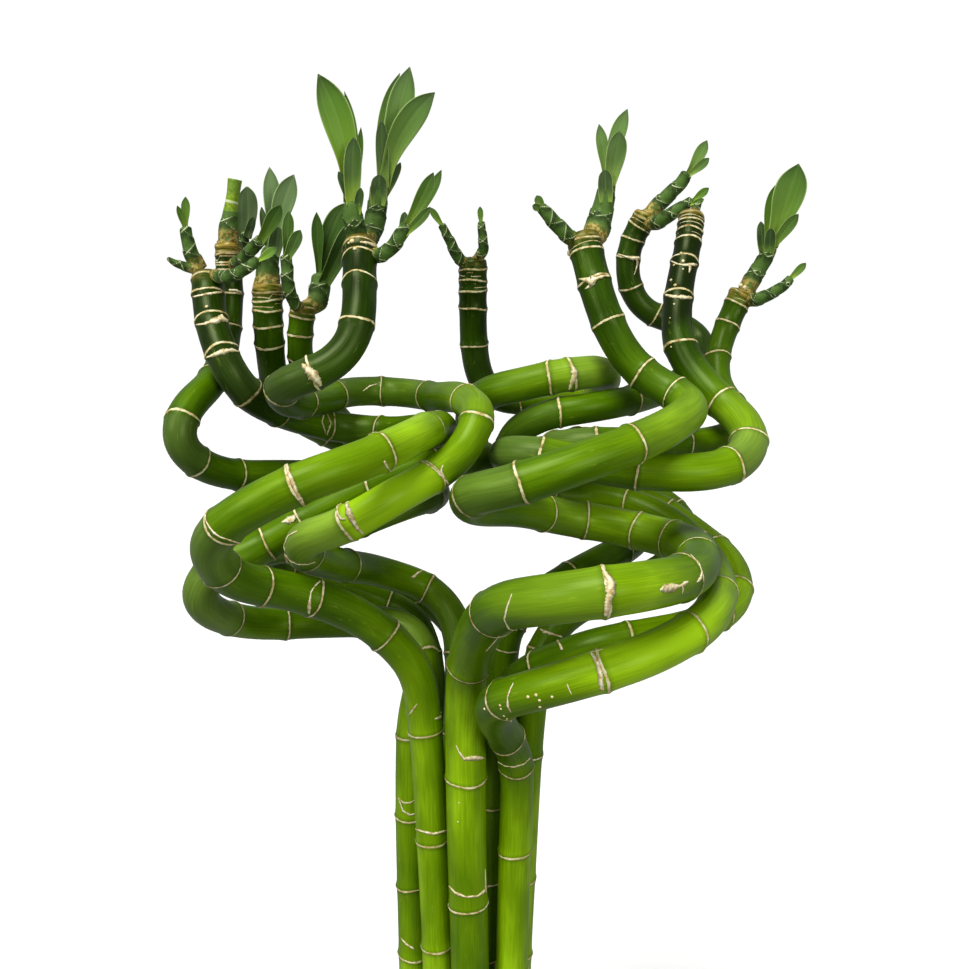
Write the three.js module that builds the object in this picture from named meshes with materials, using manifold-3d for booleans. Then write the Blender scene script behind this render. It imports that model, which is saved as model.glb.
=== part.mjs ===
// Lucky bamboo: ten curled stalks with leafy shoots, standing in gravel in a plain vase.
// Millimetres, +Z up, origin at the centre of the vase's underside, front towards -Y.

import * as THREE from 'three';
import { mergeVertices } from 'three/addons/utils/BufferGeometryUtils.js';
import Module from 'manifold-3d';

// Driving dimensions
const VASE_RADIUS = 45;
const VASE_HEIGHT = 178;
const VASE_WALL = 6;
const VASE_FLOOR = 8;
const GRAVEL_TOP = 164;
const FIT_GAP = 0.3;
const STALK_SIDES = 8;
const SHOOT_SIDES = 5;
const STEP_ALONG = 3;
const RING_RISE = 0.45;
const RING_STEP = 1.1;
const INTERNODE = 32;
const LONGEST_GAP = 56;
const BEND_PER_STATION = 54;
const FOOT_STEP = 20;
const BLADE_THICK = 0.9;
const EDGE_THICK = 0.62;
const OUTER_PEBBLES = 16;
const INNER_PEBBLES = 9;
const ROUND_SIDES = 28;

// The eye that the sight lines start from: position, downward pitch and sight scale
const EYE = [6.4, -358, 490];
const PITCH = 11.3 * Math.PI / 180;
const SIGHT = 1000;
const MIDDLE = 484.5;
const COS = Math.cos(PITCH);
const SIN = Math.sin(PITCH);

// A point on the sight line (across, down) at a given depth y
function sight(across, down, y) {
  const a = (across - MIDDLE) / SIGHT;
  const b = (MIDDLE - down) / SIGHT;
  const t = (y - EYE[1]) / (COS + SIN * b);
  return new THREE.Vector3(EYE[0] + t * a, y, EYE[2] + t * (COS * b - SIN));
}

// Distance ahead of the eye, and where a point is seen
function ahead(p) {
  return (p.y - EYE[1]) * COS - (p.z - EYE[2]) * SIN;
}

function seen(p) {
  const f = ahead(p);
  const up = (p.y - EYE[1]) * SIN + (p.z - EYE[2]) * COS;
  return [MIDDLE + SIGHT * (p.x - EYE[0]) / f, MIDDLE - SIGHT * up / f];
}

// The ten stalks. foot: x, y, z in the gravel. route: across, down, depth. rings: across, down.
const STALKS = [
  {
    radii: [6.1, 6.1, 6.1, 6.1, 6.3, 6.7, 6.6, 6.3, 6.4, 6.4, 6.1],
    foot: [[-12, -6.5, 12], [-12, -6.5, 110]],
    route: [
      [438, 969, -6.5], [432, 830, -7], [428, 760, -8], [424, 715, -10], [416, 671, -13], [399, 648, -14],
      [370, 623, -18], [332, 604, -24], [284, 589, -32], [240, 582, -42], [214, 562, -52], [209.5, 543, -58],
      [222, 527, -62], [255, 505, -65], [302, 483, -64], [345, 468, -58], [385, 453, -46], [420, 438, -26],
      [438, 431, -4], [445, 428, 12], [440, 425, 28], [420, 427, 43], [395, 430, 53], [360, 428.5, 58],
      [327, 424, 54], [300, 418, 46], [272, 408, 33], [245.5, 392.5, 21], [230.5, 372, 18], [220, 350, 20],
      [212, 325, 27], [208.5, 300, 33], [208, 273, 38]],
    rings: [
      [436, 938], [431, 832], [426, 722], [381, 630], [306, 597], [256, 580], [218, 564], [228, 520],
      [302, 483], [385, 453], [439, 431], [379, 424], [327, 424], [277, 410], [247, 391], [222, 353],
      [213, 321], [210, 295], [208, 280]],
  },
  {
    radii: [6.1, 6.1, 6.1, 6.1, 6.1, 6.4, 6.3, 6, 6.1, 6.1, 5],
    foot: [[-22.5, 3, 12], [-22.5, 3, 110]],
    route: [
      [414, 969, 3], [411, 830, 4], [411, 760, 6], [413, 715, 8], [420, 685, 11], [424, 652, 16],
      [412, 630, 21], [385, 621, 24], [350, 622, 23], [310, 622.5, 21], [270, 624, 15], [232, 619.5, 2],
      [204, 606, -14], [198, 587, -20], [212, 571, -17], [240, 557, -12], [264, 546, -9], [300, 524, -6],
      [350, 498, -4], [390, 478, -2], [440, 464, 4], [472, 459, 12], [485, 457, 24], [474, 456, 40],
      [445, 460, 54], [410, 465, 62], [370, 470, 62], [330, 475, 56], [300, 475, 46], [270, 475, 34],
      [235, 475, 24], [198, 463, 10], [177, 439, 3], [185, 411, 8], [210.5, 384, 27], [222, 361, 42],
      [227, 335, 51], [230, 300, 55], [228, 241, 56]],
    rings: [
      [411, 945], [408, 808], [350, 623], [277, 621], [226, 613], [210, 572], [269, 542], [306, 520],
      [486, 458], [330, 475], [235, 472], [198, 456], [183, 420], [203, 373], [226, 327], [230, 293],
      [229, 270], [228, 262], [228, 254], [228, 247]],
  },
  {
    radii: [6, 6, 6, 6, 6.1, 6, 5.9, 5.9, 5.8, 5.8, 5.7],
    foot: [[-16.5, 16, 12], [-16.5, 16, 110], [-15, 17, 200]],
    route: [
      [437, 760, 23], [434, 700, 31], [428, 652, 40], [414, 617, 46], [382, 600, 46], [336, 583, 40],
      [292, 571, 32], [268, 564, 25], [258, 557, 18], [270, 551, 13], [302, 548, 13], [342, 533, 9],
      [378, 515, 3], [412, 500, 3], [430, 496, 12], [435, 492, 29], [433, 490, 50], [420, 484, 74],
      [392, 469, 92], [355, 447, 94], [325, 433, 88], [300, 420, 78], [284, 402, 64], [274.5, 378, 52],
      [271.5, 350, 44], [268.5, 320, 42], [267.5, 281, 42]],
    rings: [
      [382, 596], [281, 566], [428, 498], [325, 436], [275, 377], [272, 343], [270, 325], [268, 311],
      [268, 300], [268, 292], [268, 286]],
  },
  {
    radii: [6, 6, 6, 6, 5.9, 5.9, 5.7, 5.6, 5.5, 5.3, 4.8],
    foot: [[-2, 21, 12], [-2, 21, 110], [-2, 21, 200]],
    route: [
      [464, 760, 27], [467, 700, 33], [464, 648, 46], [445, 616, 56], [413, 593, 58], [375, 580, 56],
      [335, 568, 56], [314, 548, 56], [318, 528, 62], [345, 505, 72], [358, 480, 77], [362, 460, 77],
      [356, 440, 75], [342, 422, 72], [325, 404, 64], [308, 384, 54], [299, 360, 45], [300, 327, 42],
      [304, 302, 42]],
    rings: [[410, 598], [300, 357], [301, 334], [303, 317], [304, 308]],
  },
  {
    radii: [6, 6, 6.1, 6.4, 6.4, 6.3, 6.2, 6.1, 6.1, 6.2, 6.2],
    foot: [[-7, 7, 12], [-7, 7, 110], [-7, 7, 200]],
    route: [
      [455, 800, 8], [459, 720, 13], [461, 665, 20], [457, 626, 27], [445, 604, 33], [428, 588, 36],
      [380, 570, 28], [345, 562, 6], [304, 552, -24], [301, 539, -32], [330, 531, -38], [357, 519, -40],
      [400, 494, -36], [436, 475, -24], [465, 448, -12], [480, 419, -6], [468, 402, 18], [442, 399.5, 46],
      [410, 394, 62], [375, 391.5, 64], [345, 393, 54], [318, 401, 34], [286, 400, 8], [279, 388, -2],
      [297, 379.5, -8], [330, 366, -6], [352, 343, -2], [359, 315, 2], [359.5, 282, 12], [360, 242, 26]],
    rings: [
      [418, 583], [341, 562], [302, 550], [356, 516], [436, 473], [476, 418], [466, 398], [427, 392],
      [378, 390], [333, 396], [300, 401], [283, 388], [312, 370], [354, 325], [361, 285], [362, 261],
      [362, 250]],
  },
  {
    radii: [6, 6, 6, 6.1, 6.3, 6.5, 6.6, 6.7, 6.5, 6.2, 5.8],
    foot: [[10.5, 16.5, 12], [10.5, 16.5, 110], [11, 16.5, 200]],
    route: [
      [500, 760, 17], [502, 700, 16], [503.5, 650, 16], [513.5, 618, 20], [546, 594, 25], [575, 577.5, 31],
      [603, 561, 44], [630, 546, 62], [641, 526, 84], [624, 502, 104], [592, 480, 110], [550, 472, 104],
      [510, 470, 95], [484, 462, 86], [472, 446, 72], [467, 425, 56], [469, 406, 42], [485, 394, 31],
      [516, 389.5, 27], [567, 381.5, 25], [594, 377, 30], [606, 380, 44], [598, 391, 60], [560, 398, 74],
      [520, 401, 81], [493, 397, 84], [479, 375, 83], [474, 345, 81], [473, 310, 78], [473, 257, 76]],
    rings: [
      [516, 616], [484, 396], [556, 384], [574, 381], [598, 391], [475, 345], [473, 308], [473, 291],
      [473, 281], [473, 270]],
  },
  {
    radii: [7.4, 7.4, 7.4, 7.4, 7.7, 7.8, 7.5, 7.2, 7.1, 6.6, 6.2],
    foot: [[0.5, -15.5, 12], [0.5, -15.5, 110]],
    route: [
      [470, 969, -15], [467, 850, -15], [466, 760, -15], [467, 690, -18], [471, 654, -26], [484, 623, -44],
      [502, 607, -58], [521, 603, -66], [554, 599, -74], [607, 592, -78], [650, 586, -68], [690, 577, -48],
      [701, 562, -24], [692, 549, -4], [656, 537, 10], [609, 525.5, 18], [567, 518, 18], [520, 507.5, 4],
      [471, 502.5, -20], [464.5, 493, -30], [491, 488, -36], [529, 479, -40], [580, 462, -38], [631, 444.5, -30],
      [675, 423.5, -14], [692, 406, 2], [673, 392, 10], [648, 378.5, 14], [623, 352, 18], [609, 325.5, 20],
      [596, 289, 24], [582.5, 234, 33]],
    rings: [
      [472, 895], [468, 768], [470, 658], [497, 607], [606, 590], [693, 571], [662, 534], [630, 527],
      [586, 519], [538, 511], [474, 494], [524, 481], [632, 444], [675, 396], [646, 370], [611, 322],
      [597, 283], [588, 254], [587, 243], [586, 238]],
  },
  {
    radii: [6.2, 6.2, 6.2, 6.3, 6.5, 6.9, 6.3, 5.9, 5.8, 5.6, 5.3],
    foot: [[16.8, -10.5, 12], [16.8, -10.5, 110]],
    route: [
      [511, 969, -9], [513, 850, -9], [514, 790, -10], [513, 756, -13], [501, 730, -24], [492, 713, -36],
      [500, 700, -50], [530, 691, -60], [600, 671, -66], [659, 648.5, -60], [699.5, 623.5, -48], [715, 598, -28],
      [713, 572, -6], [698, 545, 14], [665, 517, 31], [628, 500, 40], [591, 493, 42], [551, 491, 38],
      [522, 479, 37], [514, 461, 38], [515.5, 443, 35], [526, 431.5, 29], [546, 423, 25], [593, 411, 24],
      [640, 399, 40], [676, 384, 66], [696, 367, 86], [704, 342, 101], [684, 325, 106], [654, 315.5, 107],
      [636.5, 301.5, 107], [627.5, 276, 107], [628, 255, 108], [635.5, 232, 109], [648, 213, 108]],
    rings: [
      [512, 965], [513, 848], [514, 765], [506, 738], [504, 698], [599, 671], [687, 632], [714, 594],
      [628, 500], [514, 441], [567, 414], [700, 362], [655, 311], [632, 286], [629, 258], [633, 240],
      [639, 227], [643, 220]],
  },
  {
    radii: [6, 6, 6, 6.1, 6.3, 6.3, 6.1, 6, 6.8, 6.6, 5],
    foot: [[5.8, 1, 12], [5.8, 1, 110], [6.3, 0.5, 200]],
    route: [
      [491, 860, 0], [494, 760, -3], [501, 712, -5], [510, 690, -9], [530, 672, -14], [559, 659, -20],
      [591, 647, -24], [640, 637, -20], [690, 626.5, -8], [729, 608, 6], [738, 586, 18], [729, 562, 30],
      [701, 537, 46], [661, 508.5, 58], [623, 487, 64], [592, 474, 60], [558, 464, 47], [530, 460, 25],
      [509, 457, 8], [505, 453, -6], [534, 454, -12], [580, 462, -13], [620, 469, -15], [660, 472, -17],
      [705, 472, -16], [742, 460, -8], [751, 439, 1], [739, 417, 11], [712, 394, 22], [691, 368, 30],
      [679, 346, 34], [676.5, 325, 42], [679.5, 288, 52], [687.5, 248, 62], [692, 213, 70]],
    rings: [
      [542, 660], [631, 628], [718, 605], [738, 585], [717, 541], [666, 502], [514, 458], [641, 470],
      [735, 457], [748, 434], [718, 395], [678, 349], [676, 298], [681, 263], [686, 243], [688, 233],
      [690, 225], [691, 219]],
  },
  {
    radii: [6, 6, 6, 6.1, 6, 5.9, 5.7, 5.6, 5.6, 5.7, 5.2],
    foot: [[19, 5, 12], [19, 5, 110]],
    route: [
      [516, 930, 4], [520, 859, 4], [527, 748, 3], [531.5, 700, 2], [535.5, 668, 5], [545, 640, 9],
      [564, 616, 15], [600, 595, 28], [642, 577, 42], [676, 555, 60], [688, 531, 78], [673, 508, 90],
      [643, 488, 93], [612, 462, 84], [593, 443, 64], [573, 440, 42], [555, 441, 22], [551, 442, 8],
      [590, 440, 2], [650, 442, 12], [700, 443, 22], [735, 434, 28], [744, 421, 44], [731, 404, 58],
      [718, 386, 69], [715.5, 360, 77], [724, 332, 83], [743, 290, 86]],
    rings: [
      [523, 870], [529, 745], [545, 645], [556, 443], [598, 438], [684, 439], [737, 430], [724, 358],
      [729, 326], [737, 306], [742, 296]],
  },
];

// The leafy shoots. path: across, down, depth. wide: half width at each path point, in sight units.
// leaves: from, to, full width in sight units, sideways bow, turn about its own length in degrees, and how
// blunt it is, from 0 for a pointed leaf that is widest above its middle to 1 for a short rounded scale.
const SHOOTS = [
  {
    name: 'shoot_01_left_bud', stalk: 1, wide: [5.4, 5, 4, 1.8],
    path: [[199, 271, 36], [187, 267, 34], [176.5, 263.5, 32], [167, 258, 31]], leaves: [],
  },
  {
    name: 'shoot_01_upright', stalk: 1, wide: [8.4, 7.8, 6.4, 5.6],
    path: [[199.5, 269, 38], [191.5, 254, 36], [187.5, 240, 35], [185.5, 226, 35]],
    leaves: [
      [[186, 230, 35], [185.6, 196.5, 35], 9, 0, 10, 0],
      [[184.5, 230, 34.5], [177.2, 205.5, 33], 7, 0, -30, 0]],
  },
  {
    name: 'shoot_01_right', stalk: 1, wide: [6, 6.4, 6.4, 6, 4.8],
    path: [[213, 275, 34], [226, 277, 24], [236, 274, 21], [247, 268, 19], [259, 259.5, 18]],
    leaves: [[[256, 262, 18], [277, 247.5, 16], 9, 1, 20, 0]],
  },
  {
    name: 'shoot_02_stub', stalk: 2, wide: [10.4, 10.2, 9, 7, 6.8, 7.6], cut: true,
    path: [[228, 246, 56], [228.5, 232, 56], [230, 218, 56], [231, 207, 56], [233, 195, 56], [235, 179.5, 56]],
    leaves: [],
  },
  {
    name: 'shoot_02_leaf', stalk: 2, wide: [5, 5.4, 4.6],
    path: [[233, 252, 60], [243, 243, 66], [246, 232, 67]],
    leaves: [
      [[245, 238, 67], [247, 186.5, 67], 21, 3, 10, 0.7],
      [[247, 238, 65], [253.5, 217, 65], 9, 1, 20, 1]],
  },
  {
    name: 'shoot_02_right', stalk: 2, wide: [6, 6.4, 6.4, 5.8],
    path: [[231, 266, 54], [243, 259, 44], [252, 249, 38], [262, 239, 34]],
    leaves: [[[260, 242, 34], [281, 205, 30], 15, 0, 0, 0.3]],
  },
  {
    name: 'shoot_03_main', stalk: 3, wide: [13, 11.6, 9.6, 8],
    path: [[267.5, 287, 42], [267.5, 272, 43], [270, 258, 44], [272, 246, 45]],
    leaves: [
      [[272, 248, 46], [269.5, 167, 49], 17, 3, 0, 0],
      [[274, 248, 44.5], [294, 174.5, 44], 22, -6, 0, 0],
      [[268, 250, 45], [261.5, 207, 45], 8, -1, -20, 0.8],
      [[274, 256, 42], [279, 227, 40], 15, 0, 10, 1]],
  },
  {
    name: 'shoot_03_bud', stalk: 3, wide: [4.4, 4.6, 4.2, 1.6],
    path: [[272, 300, 46], [281, 296, 52], [284, 287, 53], [284, 276, 53]], leaves: [],
  },
  {
    name: 'shoot_04_left', stalk: 4, wide: [5.6, 6, 6.4, 6.4, 5.6],
    path: [[301, 311, 40], [293, 300, 32], [288, 284, 29], [287, 268, 29], [286, 254, 29]],
    leaves: [
      [[286, 257, 30], [289, 211, 31], 12, 0, 0, 0.2],
      [[287, 259, 28], [300.4, 230, 27], 13, 0, 10, 0.5]],
  },
  {
    name: 'shoot_04_right', stalk: 4, wide: [8, 10.4, 10.6, 8.2],
    path: [[306, 310, 43], [317.5, 300, 46], [320, 286, 48], [320, 273, 49]],
    leaves: [
      [[319, 277, 49], [316.5, 212, 50], 12, 0, 0, 0],
      [[322, 275, 51], [346, 203, 56], 22, -9, 0, 0.2],
      [[324, 284, 46], [353, 222, 43], 19, 2, 0, 0.6]],
  },
  {
    name: 'shoot_05_left', stalk: 5, wide: [10, 10.5, 9.8, 8.4],
    path: [[358, 248, 27], [356, 232, 24], [353, 216, 22], [352, 201, 22]],
    leaves: [
      [[353, 206, 20.5], [354, 137.5, 19], 18, -2, 0, 0.8],
      [[350, 203, 24], [318, 74, 22], 31, 17, 0, 0],
      [[353, 208, 21], [338.5, 171.5, 21], 10, 1, -10, 1],
      [[357, 214, 20.5], [361, 188, 18], 9, 0, 10, 1],
      [[353, 205, 23.5], [361, 127, 29], 8, 2, 10, 0],
      [[352, 205, 24.5], [344.2, 91, 27], 9, 13, 0, 0]],
  },
  {
    name: 'shoot_05_middle', stalk: 5, wide: [8, 9.6, 10.6, 9.6, 8.4],
    path: [[363, 247, 30], [371, 234, 38], [375.5, 218, 41], [378, 200, 41], [379.5, 184, 41]],
    leaves: [
      [[384, 190, 39.5], [381.5, 120, 37], 13, -1, 0, 0.8],
      [[383, 188, 42], [409.8, 67, 45], 26, -2, 0, 0],
      [[384, 190, 40.5], [434.9, 92.4, 36], 26, -20, 0, 0],
      [[385, 195, 40], [400.5, 162.5, 39], 8, 1, 0, 1],
      [[381, 190, 43], [400, 73, 50], 13, -16, 0, 0],
      [[378, 206, 38.5], [379.5, 174.5, 37.5], 17, 0, 0, 1]],
  },
  {
    name: 'shoot_05_right', stalk: 5, wide: [6.4, 7.6, 7.4, 7.2, 6.2],
    path: [[368, 256, 22], [383, 254, 17], [393, 246, 16], [400, 236, 15], [408, 224, 15]],
    leaves: [
      [[406, 228, 15], [433.5, 172.5, 13], 14, 1, 0, 0.3],
      [[409, 227, 16.3], [441.4, 170, 19], 11, 3, 0, 0.3],
      [[405, 234, 13.8], [430.5, 207, 11], 10, 2, 10, 0.5],
      [[402, 232, 16.3], [405, 212, 18.5], 8, 0, 0, 1]],
  },
  {
    name: 'shoot_06_left', stalk: 6, wide: [5.6, 6, 5, 3.8],
    path: [[470, 267, 76], [458, 257, 72], [450, 241, 70], [441, 224, 69]],
    leaves: [[[443, 227, 69], [430, 207.5, 68], 7, 0, 0, 0.3]],
  },
  {
    name: 'shoot_06_right', stalk: 6, wide: [5, 5.4, 4.6, 3.6],
    path: [[475, 262, 74], [483, 250, 70], [482.5, 236, 69], [481, 221, 69]],
    leaves: [[[481, 225, 69], [480, 206.5, 69], 6, 0, 0, 0.3]],
  },
  {
    name: 'shoot_07_left', stalk: 7, wide: [6.6, 7.8, 7.6, 7, 5.4],
    path: [[578, 244, 32], [566.5, 234.5, 28], [558, 226, 27], [548, 215, 26], [540, 205.5, 26]],
    leaves: [
      [[543, 210, 26], [536.6, 195.5, 26], 9, 0, 0, 0.6],
      [[543, 209, 25], [532.4, 205.5, 24], 8, 0, 10, 0.6]],
  },
  {
    name: 'shoot_07_right', stalk: 7, wide: [11.4, 13, 11.6, 9.6, 7.8],
    path: [[590, 242, 34], [597.5, 228, 38], [602, 211, 39], [605.5, 196, 39], [608, 181, 39]],
    leaves: [
      [[609, 186, 37], [619.5, 131, 35], 20, 2, 0, 0.5],
      [[608, 184, 41], [627.6, 109, 43], 16, -7, 0, 0],
      [[606, 184, 40], [599, 124, 42], 12, 2, 0, 0],
      [[606, 203, 36], [605, 169.5, 35], 15, 0, 0, 1]],
  },
  {
    name: 'shoot_08_upper', stalk: 8, wide: [7.6, 8, 7.4, 6.6, 5.8],
    path: [[647, 217, 109], [659, 204.5, 110], [668.5, 195, 109], [679.5, 184.5, 108], [688, 172.5, 107]],
    leaves: [
      [[686, 177, 108], [707.2, 140.2, 108], 12, 1, 0, 0],
      [[687, 176, 105.5], [709.2, 158, 104], 9, 1, 0, 0.3]],
  },
  {
    name: 'shoot_08_lower', stalk: 8, wide: [6, 7.4, 7, 6, 4.6],
    path: [[646, 225, 106], [660, 221, 99], [670, 214.5, 96], [682, 207, 94], [693, 200, 93]],
    leaves: [
      [[690, 203, 94], [709, 187.8, 92], 8, 0, 0, 0],
      [[690, 204, 91.5], [704, 199, 90], 6, 1, 0, 0.3]],
  },
  {
    name: 'shoot_09_tip', stalk: 9, wide: [5.6, 4.6, 1.6],
    path: [[692, 217, 70], [696, 209, 70], [701, 200.5, 70]], leaves: [],
  },
  {
    name: 'shoot_10_main', stalk: 10, wide: [8.6, 8.8, 8, 7.4, 6.4],
    path: [[745, 294, 87], [752, 280, 88], [760, 267, 88], [767, 254.5, 87], [772, 241, 86]],
    leaves: [
      [[771, 247, 86], [798.6, 163.8, 85], 31, 1, 0, 0],
      [[768, 248, 87.5], [779, 182, 91], 14, -6, 0, 0],
      [[771, 249, 84.8], [798.6, 214, 81], 12, -1, 0, 0.3],
      [[764, 258, 88], [760.8, 221.5, 90], 10, -1, -10, 1],
      [[769, 254, 84.8], [771, 228, 82], 11, 0, 0, 1]],
  },
  {
    name: 'shoot_10_right', stalk: 10, wide: [6.2, 6.8, 6, 5.4, 4.2],
    path: [[746, 301, 84], [760, 298.5, 77], [770, 294, 75], [782, 287, 73], [792, 277.5, 72]],
    leaves: [[[789, 280, 72], [806, 263, 71], 8, 0, 0, 0.4]],
  },
];

// Centre lines

function centreLine(stalk) {
  const points = stalk.foot.map((p) => new THREE.Vector3(...p));
  for (const p of stalk.route) points.push(sight(...p));
  const curve = new THREE.CatmullRomCurve3(points, false, 'centripetal');
  const fine = [];
  const spans = points.length - 1;
  for (let i = 0; i < spans * 24; i += 1) fine.push(curve.getPoint(i / (spans * 24)));
  fine.push(points[spans].clone());
  let line = evenly(fine, STEP_ALONG);
  for (let k = 0; k < 6; k += 1) line = eased(line);
  return line;
}

function evenly(points, step) {
  const at = [0];
  for (let i = 1; i < points.length; i += 1) at.push(at[i - 1] + points[i].distanceTo(points[i - 1]));
  const total = at[at.length - 1];
  const count = Math.round(total / step);
  const out = [];
  let j = 0;
  for (let i = 0; i <= count; i += 1) {
    const s = total * i / count;
    while (j < points.length - 2 && at[j + 1] < s) j += 1;
    const k = (s - at[j]) / Math.max(1e-9, at[j + 1] - at[j]);
    out.push(points[j].clone().lerp(points[j + 1], Math.min(1, Math.max(0, k))));
  }
  return out;
}

// Each inner point moves halfway to the middle of its neighbours
function eased(line) {
  const out = line.map((p) => p.clone());
  for (let i = 1; i < line.length - 1; i += 1) {
    const middle = line[i - 1].clone().add(line[i + 1]).multiplyScalar(0.5);
    out[i].lerp(middle, 0.5);
  }
  return out;
}

function radiusAt(stalk, share) {
  const r = stalk.radii;
  const s = share * (r.length - 1);
  const i = Math.min(r.length - 2, Math.floor(s));
  return r[i] + (r[i + 1] - r[i]) * (s - i);
}

// Stalks that come too close push each other apart, and each shift is spread along its stalk
function settle(lines) {
  const all = [];
  lines.forEach((line, own) => {
    line.forEach((p, i) => {
      const r = radiusAt(STALKS[own], i / (line.length - 1)) + RING_RISE;
      all.push({ own, i, r, at: p.clone(), home: p.clone() });
    });
  });
  let pairs = [];
  for (let round = 0; round < 160; round += 1) {
    if (round % 10 === 0) {
      pairs = [];
      for (let a = 0; a < all.length; a += 1) {
        for (let b = a + 1; b < all.length; b += 1) {
          if (all[a].own === all[b].own && b - a < 9) continue;
          if (all[a].at.distanceToSquared(all[b].at) < 576) pairs.push([all[a], all[b]]);
        }
      }
    }
    for (const q of all) {
      q.worst = 0;
      q.push = null;
    }
    for (const [a, b] of pairs) {
      const d = a.at.distanceTo(b.at) + 1e-9;
      const over = a.r + b.r + 0.6 - d;
      if (over <= 0) continue;
      const way = a.at.clone().sub(b.at).multiplyScalar(over * 0.5 / d);
      if (over > a.worst) {
        a.worst = over;
        a.push = way.clone();
      }
      if (over > b.worst) {
        b.worst = over;
        b.push = way.clone().negate();
      }
    }
    let start = 0;
    for (const line of lines) {
      let shift = [];
      for (let i = 0; i < line.length; i += 1) {
        const q = all[start + i];
        const s = q.at.clone().sub(q.home);
        if (q.push) s.add(q.push);
        shift.push(s);
      }
      shift = eased(eased(shift));
      for (let i = 0; i < line.length; i += 1) {
        const q = all[start + i];
        q.at.copy(q.home).add(shift[i]);
      }
      start += line.length;
    }
  }
  let start = 0;
  return lines.map((line) => {
    const out = line.map((p, i) => all[start + i].at);
    start += line.length;
    return out;
  });
}

// Closed lofts through rings of points

function loft(rings, tip) {
  const n = rings[0].length;
  const position = [];
  for (const ring of rings) for (const p of ring) position.push(p.x, p.y, p.z);
  const index = [];
  for (let i = 0; i < rings.length - 1; i += 1) {
    for (let k = 0; k < n; k += 1) {
      const a = i * n + k;
      const b = i * n + (k + 1) % n;
      index.push(a, b, b + n, a, b + n, a + n);
    }
  }
  for (let k = 1; k < n - 1; k += 1) index.push(0, k + 1, k);
  const last = (rings.length - 1) * n;
  if (tip) {
    position.push(tip.x, tip.y, tip.z);
    for (let k = 0; k < n; k += 1) index.push(last + k, last + (k + 1) % n, last + n);
  } else {
    for (let k = 1; k < n - 1; k += 1) index.push(last, last + k, last + k + 1);
  }
  const geometry = new THREE.BufferGeometry();
  geometry.setAttribute('position', new THREE.Float32BufferAttribute(position, 3));
  geometry.setIndex(index);
  return geometry;
}

// Directions along a line, and a side direction carried along without twist
function frames(points) {
  const along = points.map((p, i) => {
    const a = points[Math.max(0, i - 1)];
    const b = points[Math.min(points.length - 1, i + 1)];
    return b.clone().sub(a).normalize();
  });
  let side = new THREE.Vector3(1, 0, 0);
  return along.map((t) => {
    side = side.clone().addScaledVector(t, -side.dot(t)).normalize();
    return { along: t, side, other: t.clone().cross(side) };
  });
}

function roundRing(p, frame, radius, sides) {
  const ring = [];
  for (let k = 0; k < sides; k += 1) {
    const a = 2 * Math.PI * k / sides;
    const q = p.clone().addScaledVector(frame.side, radius * Math.cos(a));
    ring.push(q.addScaledVector(frame.other, radius * Math.sin(a)));
  }
  return ring;
}

function pointAlong(line, i) {
  const a = Math.min(line.length - 2, Math.max(0, Math.floor(i)));
  return line[a].clone().lerp(line[a + 1], i - a);
}

// The last station of the straight foot, just above the gravel
function footTop(line) {
  let i = 0;
  while (line[i].z < GRAVEL_TOP + 14) i += FOOT_STEP;
  return i;
}

// Rings are found in order along the line where they are seen; wide gaps get even rings
function ringPlaces(stalk, line) {
  const shown = line.map(seen);
  const found = [];
  let from = 0;
  for (const [u, v] of stalk.rings) {
    let best = -1;
    let least = 14;
    for (let i = from; i < line.length - 1; i += 1) {
      const d = Math.hypot(shown[i][0] - u, shown[i][1] - v);
      if (d < least) {
        least = d;
        best = i;
      } else if (best >= 0 && i > best + 9) {
        break;
      }
    }
    if (best < 0) continue;
    found.push(best);
    from = best + 1;
  }
  const start = footTop(line);
  const stops = [start, ...found.filter((i) => i > start), line.length - 1];
  const places = [];
  for (let k = 0; k < stops.length - 1; k += 1) {
    const gap = (stops[k + 1] - stops[k]) * STEP_ALONG;
    const parts = gap > LONGEST_GAP ? Math.round(gap / INTERNODE) : 1;
    for (let j = 0; j < parts; j += 1) places.push(stops[k] + (stops[k + 1] - stops[k]) * j / parts);
  }
  return places;
}

function stalkGeometry(stalk, line) {
  const places = ringPlaces(stalk, line);
  const stops = [0, ...places, line.length - 1];
  const stations = [{ i: 0, r: 0 }];
  const along = frames(line).map((f) => f.along);
  for (let k = 0; k < stops.length - 1; k += 1) {
    const a = stops[k];
    const b = stops[k + 1];
    let turn = 0;
    for (let i = Math.ceil(a); i < Math.floor(b); i += 1) turn += along[i].angleTo(along[i + 1]);
    const between = Math.round(turn * 180 / Math.PI / BEND_PER_STATION);
    const clear = k > 1 ? RING_STEP / STEP_ALONG : 0;
    if (k === 0) {
      for (let i = FOOT_STEP; i < b; i += FOOT_STEP) stations.push({ i, r: 0 });
      stations.push({ i: b, r: 0 });
      continue;
    }
    if (k > 1) {
      stations.push({ i: a, r: RING_RISE });
      stations.push({ i: a + clear, r: 0 });
    }
    for (let j = 1; j <= between; j += 1) {
      stations.push({ i: a + clear + (b - a - clear) * j / (between + 1), r: 0 });
    }
  }
  stations.push({ i: line.length - 1, r: 0 });
  const points = stations.map((s) => pointAlong(line, s.i));
  const fine = frames(line);
  const rings = stations.map((s, k) => {
    const a = Math.min(line.length - 1, Math.round(s.i));
    const r = radiusAt(stalk, s.i / (line.length - 1)) + s.r;
    return roundRing(points[k], fine[a], r, STALK_SIDES);
  });
  return loft(rings);
}

// Shoots

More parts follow.
